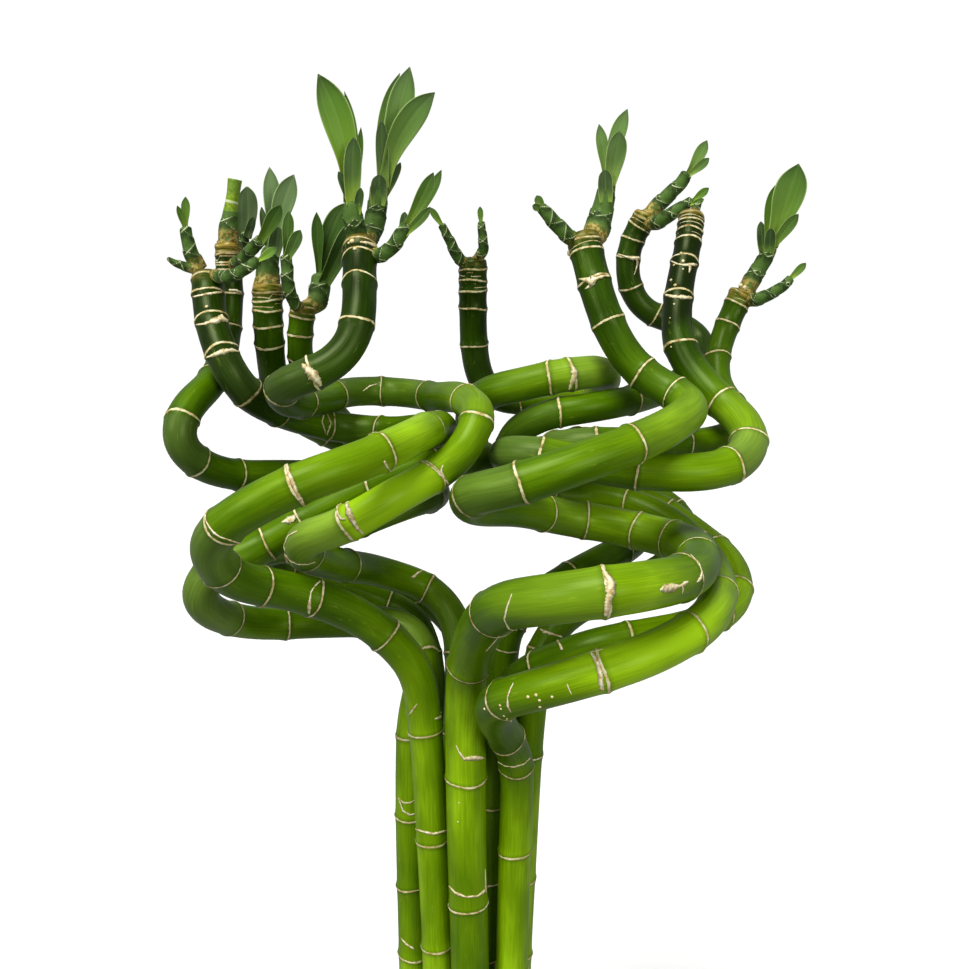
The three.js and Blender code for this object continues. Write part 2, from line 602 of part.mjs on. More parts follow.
function shootStem(shoot, extra) {
  const points = shoot.path.map((p) => sight(...p));
  const curve = new THREE.CatmullRomCurve3(points, false, 'centripetal');
  const length = curve.getLength();
  const count = Math.max(2, Math.round(length / 6.4));
  const places = [];
  for (let k = 0; k < count; k += 1) {
    places.push([k / count, 0.93]);
    if (!shoot.cut) places.push([(k + 0.9) / count, 1.12]);
  }
  places.push([1, shoot.cut ? 1 : 0.8]);
  const at = places.map(([t]) => curve.getPointAt(t));
  const carried = frames(at);
  const rings = places.map(([t, grow], k) => {
    const s = curve.getUtoTmapping(t) * (shoot.wide.length - 1);
    const i = Math.min(shoot.wide.length - 2, Math.floor(s));
    const half = shoot.wide[i] + (shoot.wide[i + 1] - shoot.wide[i]) * (s - i);
    const size = extra > 0 ? 1.13 : grow;
    return roundRing(at[k], carried[k], size * half * ahead(at[k]) / SIGHT + extra, SHOOT_SIDES);
  });
  return loft(rings);
}

// A blade, thicker along its middle, folded a little towards its upper side
function blade(from, to, width, bow, turn, blunt) {
  const a = sight(...from);
  const b = sight(...to);
  const toEye = new THREE.Vector3(...EYE).sub(a).normalize();
  const line = b.clone().sub(a);
  const across = line.clone().cross(toEye).normalize();
  const scale = ahead(a) / SIGHT;
  const middle = a.clone().lerp(b, 0.5).addScaledVector(across, bow * scale);
  const curve = new THREE.QuadraticBezierCurve3(a, middle, b);
  const shares = [[0, 0.42, 0.8], [0.3, 0.6, 0.94], [0.65, 1, 1], [0.88, 0.66, 0.8]];
  const half = width * scale / 2;
  const rings = shares.map(([t, pointed, rounded]) => {
    const p = curve.getPoint(t);
    const along = curve.getTangent(t);
    const flat = across.clone().addScaledVector(along, -across.dot(along)).normalize();
    flat.applyAxisAngle(along, turn * Math.PI / 180);
    const up = flat.clone().cross(along).normalize();
    const w = half * (pointed + (rounded - pointed) * blunt);
    const lift = w * 0.22;
    const spot = (x, y) => p.clone().addScaledVector(flat, x).addScaledVector(up, y);
    return [
      spot(-w, lift - EDGE_THICK / 2), spot(-w, lift + EDGE_THICK / 2), spot(0, BLADE_THICK / 2),
      spot(w, lift + EDGE_THICK / 2), spot(w, lift - EDGE_THICK / 2), spot(0, -BLADE_THICK / 2)];
  });
  return loft(rings, curve.getPoint(1));
}

// Solids for joining and cutting

const wasm = await Module();
wasm.setup();

function solid(geometry) {
  const clean = geometry.clone();
  clean.deleteAttribute('normal');
  clean.deleteAttribute('uv');
  const merged = mergeVertices(clean, 1e-5);
  const vertProperties = new Float32Array(merged.attributes.position.array);
  const triVerts = new Uint32Array(merged.index.array);
  const out = new wasm.Manifold(new wasm.Mesh({ numProp: 3, vertProperties, triVerts }));
  if (out.volume() > 0) return out;
  for (let i = 0; i < triVerts.length; i += 3) {
    const keep = triVerts[i];
    triVerts[i] = triVerts[i + 1];
    triVerts[i + 1] = keep;
  }
  return new wasm.Manifold(new wasm.Mesh({ numProp: 3, vertProperties, triVerts }));
}

function geometryOf(body) {
  const mesh = body.getMesh();
  const position = new Float32Array(mesh.numVert * 3);
  for (let i = 0; i < mesh.numVert; i += 1) {
    for (let k = 0; k < 3; k += 1) position[i * 3 + k] = mesh.vertProperties[i * mesh.numProp + k];
  }
  const geometry = new THREE.BufferGeometry();
  geometry.setAttribute('position', new THREE.Float32BufferAttribute(position, 3));
  geometry.setIndex(Array.from(mesh.triVerts));
  return geometry;
}

// A stretch of a stalk, wider by the fit gap and longer at its ends
function sleeve(stalk, line, first, last, extra, step) {
  const count = Math.max(1, Math.ceil((last - first) / step));
  const fine = frames(line);
  const rings = [];
  for (let k = 0; k <= count; k += 1) {
    const i = Math.round(first + (last - first) * k / count);
    const r = radiusAt(stalk, i / (line.length - 1)) + extra;
    const p = line[i].clone();
    if (i === 0) p.addScaledVector(fine[0].along, -FIT_GAP);
    if (i === line.length - 1) p.addScaledVector(fine[i].along, FIT_GAP);
    rings.push(roundRing(p, fine[i], r, STALK_SIDES));
  }
  return solid(loft(rings));
}

// The main piece, without slivers that a cut leaves behind
function largest(body) {
  return body.decompose().sort((a, b) => b.volume() - a.volume())[0];
}

const group = new THREE.Group();

function add(name, geometry, colour, roughness) {
  const material = new THREE.MeshStandardMaterial({ color: colour, roughness, metalness: 0 });
  const mesh = new THREE.Mesh(geometry, material);
  mesh.name = name;
  group.add(mesh);
}

const lines = settle(STALKS.map(centreLine));

// Stalks

STALKS.forEach((stalk, k) => {
  const name = 'stalk_' + String(k + 1).padStart(2, '0');
  add(name, stalkGeometry(stalk, lines[k]), 0x4f7f14, 0.35);
});

// Shoots, cut clear of the stalk that they grow from and of its earlier shoots

const keepClear = STALKS.map(() => []);
for (const shoot of SHOOTS) {
  const stalk = STALKS[shoot.stalk - 1];
  const line = lines[shoot.stalk - 1];
  let body = solid(shootStem(shoot, 0));
  for (const leaf of shoot.leaves) body = body.add(solid(blade(...leaf)));
  const last = line.length - 1;
  body = body.subtract(sleeve(stalk, line, last - 14, last, RING_RISE + FIT_GAP, 5));
  for (const other of keepClear[shoot.stalk - 1]) body = body.subtract(other);
  keepClear[shoot.stalk - 1].push(solid(shootStem(shoot, FIT_GAP * 1.3)));
  body = largest(body);
  add(shoot.name, geometryOf(body), shoot.cut ? 0x76a92c : 0x4c7a35, 0.45);
}

// Vase

const profile = [
  [0, 0], [VASE_RADIUS - 8, 0], [VASE_RADIUS - 5.5, 2.5], [VASE_RADIUS - 1.6, 9], [VASE_RADIUS, 22],
  [VASE_RADIUS, VASE_HEIGHT - 6], [VASE_RADIUS - 0.6, VASE_HEIGHT - 1.6], [VASE_RADIUS - 2.6, VASE_HEIGHT],
  [VASE_RADIUS - VASE_WALL + 1.2, VASE_HEIGHT - 1.4], [VASE_RADIUS - VASE_WALL, VASE_HEIGHT - 4],
  [VASE_RADIUS - VASE_WALL, VASE_FLOOR], [0, VASE_FLOOR]];
const vase = new THREE.LatheGeometry(profile.map(([x, y]) => new THREE.Vector2(x, y)), ROUND_SIDES);
vase.rotateX(Math.PI / 2);
add('vase', geometryOf(solid(vase)), 0xe9e6df, 0.3);

// Gravel: a fill with a pebbled top and ten plain holes for the stalks

const inside = VASE_RADIUS - VASE_WALL - FIT_GAP;
const fillProfile = [[0, VASE_FLOOR + FIT_GAP], [inside, VASE_FLOOR + FIT_GAP], [inside, GRAVEL_TOP], [0, GRAVEL_TOP]];
const fill = new THREE.LatheGeometry(fillProfile.map(([x, y]) => new THREE.Vector2(x, y)), ROUND_SIDES);
fill.rotateX(Math.PI / 2);
let gravel = solid(fill);

const holes = STALKS.map((stalk, k) => {
  return sleeve(stalk, lines[k], 0, footTop(lines[k]), FIT_GAP, FOOT_STEP);
});

// Pebbles lie in rings around the stalks, each turned by its own fixed angle
const pebbles = [];
for (let k = 0; k < OUTER_PEBBLES + INNER_PEBBLES; k += 1) {
  const outer = k < OUTER_PEBBLES;
  const ringRadius = outer ? inside - 6.4 : inside - 15.6;
  const share = outer ? k / OUTER_PEBBLES : (k - OUTER_PEBBLES) / INNER_PEBBLES + 0.03;
  const turn = 2 * Math.PI * share;
  const size = 4.8 + 0.6 * Math.sin(k * 2.4);
  const pebble = new THREE.IcosahedronGeometry(size, 0);
  pebble.rotateX(k * 1.3);
  pebble.rotateZ(k * 0.9);
  pebble.scale(1.1, 1, 0.7);
  pebble.translate(ringRadius * Math.cos(turn), ringRadius * Math.sin(turn), GRAVEL_TOP - 0.4);
  pebbles.push(solid(pebble));
}
for (const pebble of pebbles) gravel = gravel.add(pebble);
for (const hole of holes) gravel = gravel.subtract(hole);
add('gravel', geometryOf(largest(gravel)), 0xb9ad98, 0.8);

export default group;
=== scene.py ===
# %% [markdown]
# # Lucky bamboo in a vase
#
# This scene dresses a bunch of curled lucky bamboo: ten green stalks that each make one or two turns
# on their way up, leafy shoots where their tops were cut, and a plain glazed vase filled with
# pebbles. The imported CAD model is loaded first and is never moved. Each visible piece is then built
# finer on the same centre lines, so it lies where its CAD solid lies.

# %% Load the frame
import math

import bmesh
import bpy
import numpy as np
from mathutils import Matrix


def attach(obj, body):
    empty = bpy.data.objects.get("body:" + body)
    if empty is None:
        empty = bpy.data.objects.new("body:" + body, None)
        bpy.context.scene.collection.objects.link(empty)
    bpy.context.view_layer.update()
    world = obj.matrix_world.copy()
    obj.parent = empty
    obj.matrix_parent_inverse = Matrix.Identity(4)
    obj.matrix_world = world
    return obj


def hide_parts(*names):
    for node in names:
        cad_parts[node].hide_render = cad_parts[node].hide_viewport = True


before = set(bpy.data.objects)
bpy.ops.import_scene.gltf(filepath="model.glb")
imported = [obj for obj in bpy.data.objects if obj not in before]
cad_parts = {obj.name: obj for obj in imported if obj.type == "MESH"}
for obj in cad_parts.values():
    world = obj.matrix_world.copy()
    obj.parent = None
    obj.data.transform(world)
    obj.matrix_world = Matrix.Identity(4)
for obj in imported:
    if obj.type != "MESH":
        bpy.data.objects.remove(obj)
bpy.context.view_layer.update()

# %% [markdown]
# ## Camera
#
# The bunch is seen from the front, from a little above its middle. One thousand pixels of sight scale
# in a frame of 969 pixels is a lens of 37 mm on a 36 mm sensor. The same eye, pitch and scale turn
# a point of a sight line into a place in space, so the camera comes first.

# %% Camera
MM = 0.001
FRAME_PIXELS = 969
SENSOR_MM = 36
SIGHT = 1000
MIDDLE = FRAME_PIXELS / 2
EYE = np.array([6.4, -358.0, 490.0])
PITCH = math.radians(11.3)
COS = math.cos(PITCH)
SIN = math.sin(PITCH)
CLIP_START = 0.01


def add_object(name, data):
    """A new object of the scene that holds a mesh, a light or a camera."""
    made = bpy.data.objects.new(name, data)
    bpy.context.collection.objects.link(made)
    return made


camera_data = bpy.data.cameras.new("front_camera")
camera_data.lens = SENSOR_MM * SIGHT / FRAME_PIXELS
camera_data.sensor_width = SENSOR_MM
camera_data.clip_start = CLIP_START
camera = add_object("front_camera", camera_data)
camera.location = EYE * MM
camera.rotation_euler = (math.pi / 2 - PITCH, 0, 0)
bpy.context.scene.camera = camera
print("camera at", tuple(round(x, 4) for x in camera.location), "lens", round(camera_data.lens, 2))

# %% [markdown]
# ## Nodes and colours
#
# A material is a tree of nodes. Colours are picked as sRGB hex values, as on a screen, and Blender
# wants them linear, so one function turns them. Another adds any node with its settings and links,
# and where a link names only a node, it starts from the output that the node's settings left in use.

# %% Node helpers
def linear(text):
    """An sRGB hex colour as linear red, green, blue and alpha."""
    parts = [int(text[i:i + 2], 16) / 255 for i in (1, 3, 5)]
    return tuple(c / 12.92 if c <= 0.04045 else ((c + 0.055) / 1.055) ** 2.4 for c in parts) + (1.0,)


def add_node(tree, kind, inputs=None, stops=(), **settings):
    """One shader node. An input is a value, or a node or a socket to link from."""
    made = tree.nodes.new(kind)
    for name, value in settings.items():
        setattr(made, name, value)
    for name, value in (inputs or {}).items():
        if isinstance(value, bpy.types.Node):
            value = next(output for output in value.outputs if output.enabled)
        if isinstance(value, bpy.types.NodeSocket):
            tree.links.new(value, made.inputs[name])
        else:
            made.inputs[name].default_value = value
    for spot, colour in stops[1:-1]:
        made.color_ramp.elements.new(spot)
    for k, (spot, colour) in enumerate(stops):
        made.color_ramp.elements[k].position = spot
        made.color_ramp.elements[k].color = linear(colour)
    return made


def empty_tree(owner):
    """The node tree of a material or a world, with nothing in it yet."""
    owner.use_nodes = True
    owner.node_tree.nodes.clear()
    return owner.node_tree


print("white is", linear("#ffffff"), "and middle grey", linear("#808080"))

# %% [markdown]
# ## Light
#
# A plain pale studio. A broad overhead light from the front left, wide enough to give soft shadows,
# lights the plant and the white floor alike. A soft box on each side adds long, quiet highlights on
# the waxy stalks. The surround is dim, so that the undersides stay dark green. The view transform is
# the plain one, so that white stays white and the greens keep their strength.

# %% Studio light
bpy.context.scene.view_settings.view_transform = "Standard"
bpy.context.scene.view_settings.look = "None"

WORLD_STRENGTH = 0.27
BUNCH = (0, 0, 0.38)

world = bpy.data.worlds.new("studio")
bpy.context.scene.world = world
tree = empty_tree(world)
sky = add_node(tree, "ShaderNodeBackground", {"Color": linear("#ffffff"), "Strength": WORLD_STRENGTH})
add_node(tree, "ShaderNodeOutputWorld", {"Surface": sky})


def add_lamp(name, kind, place, power, shine, **form):
    """A lamp at a place in metres that faces the bunch. Shine is its share of the highlights."""
    light = bpy.data.lights.new(name, kind)
    light.energy = power
    light.specular_factor = shine
    for key, value in form.items():
        setattr(light, key, value)
    lamp = add_object(name, light)
    lamp.location = place
    away = np.array(place) - BUNCH
    across = math.hypot(away[0], away[1])
    lamp.rotation_euler = (math.atan2(across, away[2]), 0, math.atan2(away[1], away[0]) + math.pi / 2)


add_lamp("overhead_light", "SUN", (-0.35, -0.54, 1.6), 3.0, 0.7, angle=math.radians(30))
add_lamp("left_softbox", "AREA", (-0.9, -0.7, 0.95), 4.6, 0.12, shape="SQUARE", size=0.45)
add_lamp("right_softbox", "AREA", (0.7, -1.1, 0.75), 5.5, 0.15, shape="SQUARE", size=0.5)
print("lamps:", len(bpy.data.lights), "surround", WORLD_STRENGTH)

# %% [markdown]
# ## Floor and backdrop
#
# The plant stands on white paper in front of a plain white ground. A curved sheet of paper would do
# it from one side, but the plant is also seen from behind. A flat floor with a large dome round it
# looks the same from all sides, and as only the camera sees them, they throw no light on the plant.

# %% Floor and backdrop
FLOOR_HALF = 8.0
FLOOR_DROP = 0.0004
FLOOR_GLOW = 0.12
DOME_RADIUS = 12.0
DOME_GLOW = 1.0
PAPER_ROUGHNESS = 0.95


def stage_piece(name, mesh, colour, glow):
    """A piece of the studio: plain paper with some light of its own, seen by the camera alone."""
    paper = bpy.data.materials.new(name + "_paper")
    tree = empty_tree(paper)
    sheet = add_node(tree, "ShaderNodeBsdfPrincipled", {
        "Base Color": linear(colour), "Roughness": PAPER_ROUGHNESS, "Emission Color": linear("#ffffff"),
        "Emission Strength": glow})
    add_node(tree, "ShaderNodeOutputMaterial", {"Surface": sheet})
    mesh.materials.append(paper)
    piece = add_object(name, mesh)
    piece.visible_diffuse = False
    piece.visible_glossy = False
    piece.visible_transmission = False
    return piece


floor_mesh = bpy.data.meshes.new("studio_floor")
corners = [(x * FLOOR_HALF, y * FLOOR_HALF, -FLOOR_DROP) for x, y in ((-1, -1), (1, -1), (1, 1), (-1, 1))]
floor_mesh.from_pydata(corners, [], [(0, 1, 2, 3)])
stage_piece("studio_floor", floor_mesh, "#f4f4f2", FLOOR_GLOW)

dome_mesh = bpy.data.meshes.new("white_backdrop")
dome_form = bmesh.new()
bmesh.ops.create_uvsphere(dome_form, u_segments=32, v_segments=16, radius=DOME_RADIUS)
dome_form.to_mesh(dome_mesh)
dome_form.free()
dome = stage_piece("white_backdrop", dome_mesh, "#000000", DOME_GLOW)
dome.visible_shadow = False
print("floor", 2 * FLOOR_HALF, "m wide, backdrop", 2 * DOME_RADIUS, "m wide")

# %% [markdown]
# ## Where the stalks run
#
# Each stalk was trained round a form while it grew, so its centre line is one smooth curve. It is
# given by a few points: the foot in the pebbles as x, y and z in millimetres, then points
# on sight lines as across, down and depth. The radii are spaced evenly from the foot to the top, and
# the rings are given where they are seen. The tones are pairs: a share of the way up, and how light
# the green is there. Besides the stalk's own green, they hold painted highlights where light falls on
# the loops and painted shade where the stalk lies in shade. The last number says how much dry husk
# the neck carries.

# %% Stalk table
STALKS = [
  {
    "radii": (6.1, 6.1, 6.1, 6.1, 6.3, 6.7, 6.6, 6.3, 6.4, 6.4, 6.1),
    "foot": [(-12, -6.5, 12), (-12, -6.5, 110)],
    "route": [(438, 969, -6.5), (432, 830, -7), (428, 760, -8), (424, 715, -10), (416, 671, -13),
      (399, 648, -14), (370, 623, -18), (332, 604, -24), (284, 589, -32), (240, 582, -42), (214, 562, -52),
      (209.5, 543, -58), (222, 527, -62), (255, 505, -65), (302, 483, -64), (345, 468, -58),
      (385, 453, -46), (420, 438, -26), (438, 431, -4), (445, 428, 12), (440, 425, 28), (420, 427, 43),
      (395, 430, 53), (360, 428.5, 58), (327, 424, 54), (300, 418, 46), (272, 408, 33), (245.5, 392.5, 21),
      (230.5, 372, 18), (220, 350, 20), (212, 325, 27), (208.5, 300, 33), (208, 273, 38)],
    "rings": [(436, 938), (431, 832), (426, 722), (381, 630), (306, 597), (256, 580), (218, 564),
      (228, 520), (302, 483), (385, 453), (439, 431), (379, 424), (327, 424), (277, 410), (247, 391),
      (222, 353), (213, 321), (210, 295), (208, 280)],
    "tones_and_painted_light": [(0, 0.72), (0.34, 0.76), (0.4, 0.84), (0.45, 0.76), (0.48, 0.58), (0.53, 0.46), (0.62, 0.46),
      (0.65, 0.7), (0.7, 0.82), (0.76, 0.58), (0.83, 0.62), (0.88, 0.45), (0.92, 0.25), (0.95, 0.08),
      (1, 0.12)],
    "husk": 0.35,
  },
  {
    "radii": (6.1, 6.1, 6.1, 6.1, 6.1, 6.4, 6.3, 6, 6.1, 6.1, 5),
    "foot": [(-22.5, 3, 12), (-22.5, 3, 110)],
    "route": [(414, 969, 3), (411, 830, 4), (411, 760, 6), (413, 715, 8), (420, 685, 11), (424, 652, 16),
      (412, 630, 21), (385, 621, 24), (350, 622, 23), (310, 622.5, 21), (270, 624, 15), (232, 619.5, 2),
      (204, 606, -14), (198, 587, -20), (212, 571, -17), (240, 557, -12), (264, 546, -9), (300, 524, -6),
      (350, 498, -4), (390, 478, -2), (440, 464, 4), (472, 459, 12), (485, 457, 24), (474, 456, 40),
      (445, 460, 54), (410, 465, 62), (370, 470, 62), (330, 475, 56), (300, 475, 46), (270, 475, 34),
      (235, 475, 24), (198, 463, 10), (177, 439, 3), (185, 411, 8), (210.5, 384, 27), (222, 361, 42),
      (227, 335, 51), (230, 300, 55), (228, 241, 56)],
    "rings": [(411, 945), (408, 808), (350, 623), (277, 621), (226, 613), (210, 572), (269, 542),
      (306, 520), (486, 458), (330, 475), (235, 472), (198, 456), (183, 420), (203, 373), (226, 327),
      (230, 293), (229, 270), (228, 262), (228, 254), (228, 247)],
    "tones_and_painted_light": [(0, 0.65), (0.3, 0.7), (0.36, 0.88), (0.4, 0.7), (0.45, 0.5), (0.5, 0.55), (0.56, 0.6),
      (0.62, 0.55), (0.7, 0.5), (0.84, 0.42), (0.92, 0.42), (0.95, 0.2), (1, 0.08)],
    "husk": 1.0,
  },
  {
    "radii": (6, 6, 6, 6, 6.1, 6, 5.9, 5.9, 5.8, 5.8, 5.7),
    "foot": [(-16.5, 16, 12), (-16.5, 16, 110), (-15, 17, 200)],
    "route": [(437, 760, 23), (434, 700, 31), (428, 652, 40), (414, 617, 46), (382, 600, 46),
      (336, 583, 40), (292, 571, 32), (268, 564, 25), (258, 557, 18), (270, 551, 13), (302, 548, 13),
      (342, 533, 9), (378, 515, 3), (412, 500, 3), (430, 496, 12), (435, 492, 29), (433, 490, 50),
      (420, 484, 74), (392, 469, 92), (355, 447, 94), (325, 433, 88), (300, 420, 78), (284, 402, 64),
      (274.5, 378, 52), (271.5, 350, 44), (268.5, 320, 42), (267.5, 281, 42)],
    "rings": [(382, 596), (281, 566), (428, 498), (325, 436), (275, 377), (272, 343), (270, 325),
      (268, 311), (268, 300), (268, 292), (268, 286)],
    "tones_and_painted_light": [(0, 0.6), (0.4, 0.6), (0.5, 0.5), (0.8, 0.5), (0.9, 0.42), (0.95, 0.25), (1, 0.22)],
    "husk": 1.0,
  },
  {
    "radii": (6, 6, 6, 6, 5.9, 5.9, 5.7, 5.6, 5.5, 5.3, 4.8),
    "foot": [(-2, 21, 12), (-2, 21, 110), (-2, 21, 200)],
    "route": [(464, 760, 27), (467, 700, 33), (464, 648, 46), (445, 616, 56), (413, 593, 58),
      (375, 580, 56), (335, 568, 56), (314, 548, 56), (318, 528, 62), (345, 505, 72), (358, 480, 77),
      (362, 460, 77), (356, 440, 75), (342, 422, 72), (325, 404, 64), (308, 384, 54), (299, 360, 45),
      (300, 327, 42), (304, 302, 42)],
    "rings": [(410, 598), (300, 357), (301, 334), (303, 317), (304, 308)],
    "tones_and_painted_light": [(0, 0.6), (0.5, 0.55), (0.7, 0.45), (0.85, 0.45), (0.93, 0.36), (1, 0.22)],
    "husk": 0.6,
  },
  {
    "radii": (6, 6, 6.1, 6.4, 6.4, 6.3, 6.2, 6.1, 6.1, 6.2, 6.2),
    "foot": [(-7, 7, 12), (-7, 7, 110), (-7, 7, 200)],
    "route": [(455, 800, 8), (459, 720, 13), (461, 665, 20), (457, 626, 27), (445, 604, 33), (428, 588, 36),
      (380, 570, 28), (345, 562, 6), (304, 552, -24), (301, 539, -32), (330, 531, -38), (357, 519, -40),
      (400, 494, -36), (436, 475, -24), (465, 448, -12), (480, 419, -6), (468, 402, 18), (442, 399.5, 46),
      (410, 394, 62), (375, 391.5, 64), (345, 393, 54), (318, 401, 34), (286, 400, 8), (279, 388, -2),
      (297, 379.5, -8), (330, 366, -6), (352, 343, -2), (359, 315, 2), (359.5, 282, 12), (360, 242, 26)],
    "rings": [(418, 583), (341, 562), (302, 550), (356, 516), (436, 473), (476, 418), (466, 398),
      (427, 392), (378, 390), (333, 396), (300, 401), (283, 388), (312, 370), (354, 325), (361, 285),
      (362, 261), (362, 250)],
    "tones_and_painted_light": [(0, 0.5), (0.4, 0.55), (0.45, 0.65), (0.5, 0.52), (0.56, 0.5), (0.6, 0.9), (0.635, 1.05),
      (0.66, 0.74), (0.69, 0.72), (0.72, 0.7), (0.76, 0.5), (0.82, 0.52), (0.88, 0.35), (0.92, 0.25),
      (0.95, 0.1), (1, 0.05)],
    "husk": 0.45,
  },
  {
    "radii": (6, 6, 6, 6.1, 6.3, 6.5, 6.6, 6.7, 6.5, 6.2, 5.8),
    "foot": [(10.5, 16.5, 12), (10.5, 16.5, 110), (11, 16.5, 200)],
    "route": [(500, 760, 17), (502, 700, 16), (503.5, 650, 16), (513.5, 618, 20), (546, 594, 25),
      (575, 577.5, 31), (603, 561, 44), (630, 546, 62), (641, 526, 84), (624, 502, 104), (592, 480, 110),
      (550, 472, 104), (510, 470, 95), (484, 462, 86), (472, 446, 72), (467, 425, 56), (469, 406, 42),
      (485, 394, 31), (516, 389.5, 27), (567, 381.5, 25), (594, 377, 30), (606, 380, 44), (598, 391, 60),
      (560, 398, 74), (520, 401, 81), (493, 397, 84), (479, 375, 83), (474, 345, 81), (473, 310, 78),
      (473, 257, 76)],
    "rings": [(516, 616), (484, 396), (556, 384), (574, 381), (598, 391), (475, 345), (473, 308),
      (473, 291), (473, 281), (473, 270)],
    "tones_and_painted_light": [(0, 0.5), (0.4, 0.5), (0.5, 0.45), (0.76, 0.45), (0.79, 0.62), (0.82, 0.95), (0.85, 0.9),
      (0.9, 0.4), (0.94, 0.18), (1, 0.06)],
    "husk": 0.15,
  },
  {
    "radii": (7.4, 7.4, 7.4, 7.4, 7.7, 7.8, 7.5, 7.2, 7.1, 6.6, 6.2),
    "foot": [(0.5, -15.5, 12), (0.5, -15.5, 110)],
    "route": [(470, 969, -15), (467, 850, -15), (466, 760, -15), (467, 690, -18), (471, 654, -26),
      (484, 623, -44), (502, 607, -58), (521, 603, -66), (554, 599, -74), (607, 592, -78), (650, 586, -68),
      (690, 577, -48), (701, 562, -24), (692, 549, -4), (656, 537, 10), (609, 525.5, 18), (567, 518, 18),
      (520, 507.5, 4), (471, 502.5, -20), (464.5, 493, -30), (491, 488, -36), (529, 479, -40),
      (580, 462, -38), (631, 444.5, -30), (675, 423.5, -14), (692, 406, 2), (673, 392, 10),
      (648, 378.5, 14), (623, 352, 18), (609, 325.5, 20), (596, 289, 24), (582.5, 234, 33)],
    "rings": [(472, 895), (468, 768), (470, 658), (497, 607), (615, 589), (683, 573), (668, 536),
      (630, 527), (579, 518), (538, 511), (474, 494), (524, 481), (632, 444), (675, 396), (646, 370),
      (611, 322), (597, 283), (588, 254), (587, 243), (586, 238)],
    "tones_and_painted_light": [(0, 0.6), (0.28, 0.6), (0.34, 0.74), (0.4, 0.8), (0.44, 0.5), (0.47, 0.42), (0.49, 0.55),
      (0.52, 0.75), (0.54, 0.88), (0.57, 0.5), (0.62, 0.55), (0.66, 0.8), (0.7, 0.66), (0.76, 0.48),
      (0.8, 0.6), (0.83, 0.62), (0.86, 0.76), (0.9, 0.74), (0.915, 0.46), (0.94, 0.28), (1, 0.12)],
    "husk": 0.5,
  },
  {
    "radii": (6.2, 6.2, 6.2, 6.3, 6.5, 6.9, 6.3, 5.9, 5.8, 5.6, 5.3),
    "foot": [(16.8, -10.5, 12), (16.8, -10.5, 110)],
    "route": [(511, 969, -9), (513, 850, -9), (514, 790, -10), (513, 756, -13), (501, 730, -24),
      (492, 713, -36), (500, 700, -50), (530, 691, -60), (600, 671, -66), (659, 648.5, -60),
      (699.5, 623.5, -48), (715, 598, -28), (713, 572, -6), (698, 545, 14), (665, 517, 31), (628, 500, 40),
      (591, 493, 42), (551, 491, 38), (522, 479, 37), (514, 461, 38), (515.5, 443, 35), (526, 431.5, 29),
      (546, 423, 25), (593, 411, 24), (640, 399, 40), (676, 384, 66), (696, 367, 86), (704, 342, 101),
      (684, 325, 106), (654, 315.5, 107), (636.5, 301.5, 107), (627.5, 276, 107), (628, 255, 108),
      (635.5, 232, 109), (648, 213, 108)],
    "rings": [(512, 965), (513, 848), (514, 765), (506, 738), (504, 698), (599, 671), (687, 632),
      (714, 594), (628, 500), (514, 441), (567, 414), (700, 362), (655, 311), (632, 286), (629, 258),
      (633, 240), (639, 227), (643, 220)],
    "tones_and_painted_light": [(0, 0.85), (0.32, 0.85), (0.35, 0.62), (0.38, 0.5), (0.42, 0.46), (0.44, 0.5), (0.46, 0.64),
      (0.485, 0.94), (0.52, 1.06), (0.56, 0.74), (0.6, 0.65), (0.65, 0.66), (0.72, 0.5), (0.76, 0.52),
      (0.79, 0.4), (0.85, 0.42), (0.92, 0.15), (1, 0.0)],
    "husk": 0.9,
  },
  {
    "radii": (6, 6, 6, 6.1, 6.3, 6.3, 6.1, 6, 6.8, 6.6, 5),
    "foot": [(5.8, 1, 12), (5.8, 1, 110), (6.3, 0.5, 200)],
    "route": [(491, 860, 0), (494, 760, -3), (501, 712, -5), (510, 690, -9), (530, 672, -14),
      (559, 659, -20), (591, 647, -24), (640, 637, -20), (690, 626.5, -8), (729, 608, 6), (738, 586, 18),
      (729, 562, 30), (701, 537, 46), (661, 508.5, 58), (623, 487, 64), (592, 474, 60), (558, 464, 47),
      (530, 460, 25), (509, 457, 8), (505, 453, -6), (534, 454, -12), (580, 462, -13), (620, 469, -15),
      (660, 472, -17), (705, 472, -16), (742, 460, -8), (751, 439, 1), (739, 417, 11), (712, 394, 22),
      (691, 368, 30), (679, 346, 34), (676.5, 325, 42), (679.5, 288, 52), (687.5, 248, 62), (692, 213, 70)],
    "rings": [(542, 660), (631, 628), (718, 605), (738, 585), (717, 541), (666, 502), (514, 458),
      (641, 470), (729, 463), (751, 441), (722, 401), (678, 349), (676, 298), (681, 263), (686, 243),
      (688, 233), (690, 225), (691, 219)],
    "tones_and_painted_light": [(0, 0.55), (0.36, 0.55), (0.42, 0.5), (0.5, 0.75), (0.55, 0.8), (0.6, 0.75), (0.66, 0.6),
      (0.72, 0.55), (0.78, 0.55), (0.82, 0.62), (0.85, 0.74), (0.88, 0.76), (0.9, 0.55), (0.92, 0.2),
      (0.94, -0.15), (1, -0.15)],
    "husk": 0.6,
  },
  {
    "radii": (6, 6, 6, 6.1, 6, 5.9, 5.7, 5.6, 5.6, 5.7, 5.2),
    "foot": [(19, 5, 12), (19, 5, 110)],
    "route": [(516, 930, 4), (520, 859, 4), (527, 748, 3), (531.5, 700, 2), (535.5, 668, 5), (545, 640, 9),
      (564, 616, 15), (600, 595, 28), (642, 577, 42), (676, 555, 60), (688, 531, 78), (673, 508, 90),
      (643, 488, 93), (612, 462, 84), (593, 443, 64), (573, 440, 42), (555, 441, 22), (551, 442, 8),
      (590, 440, 2), (650, 442, 12), (700, 443, 22), (735, 434, 28), (744, 421, 44), (731, 404, 58),
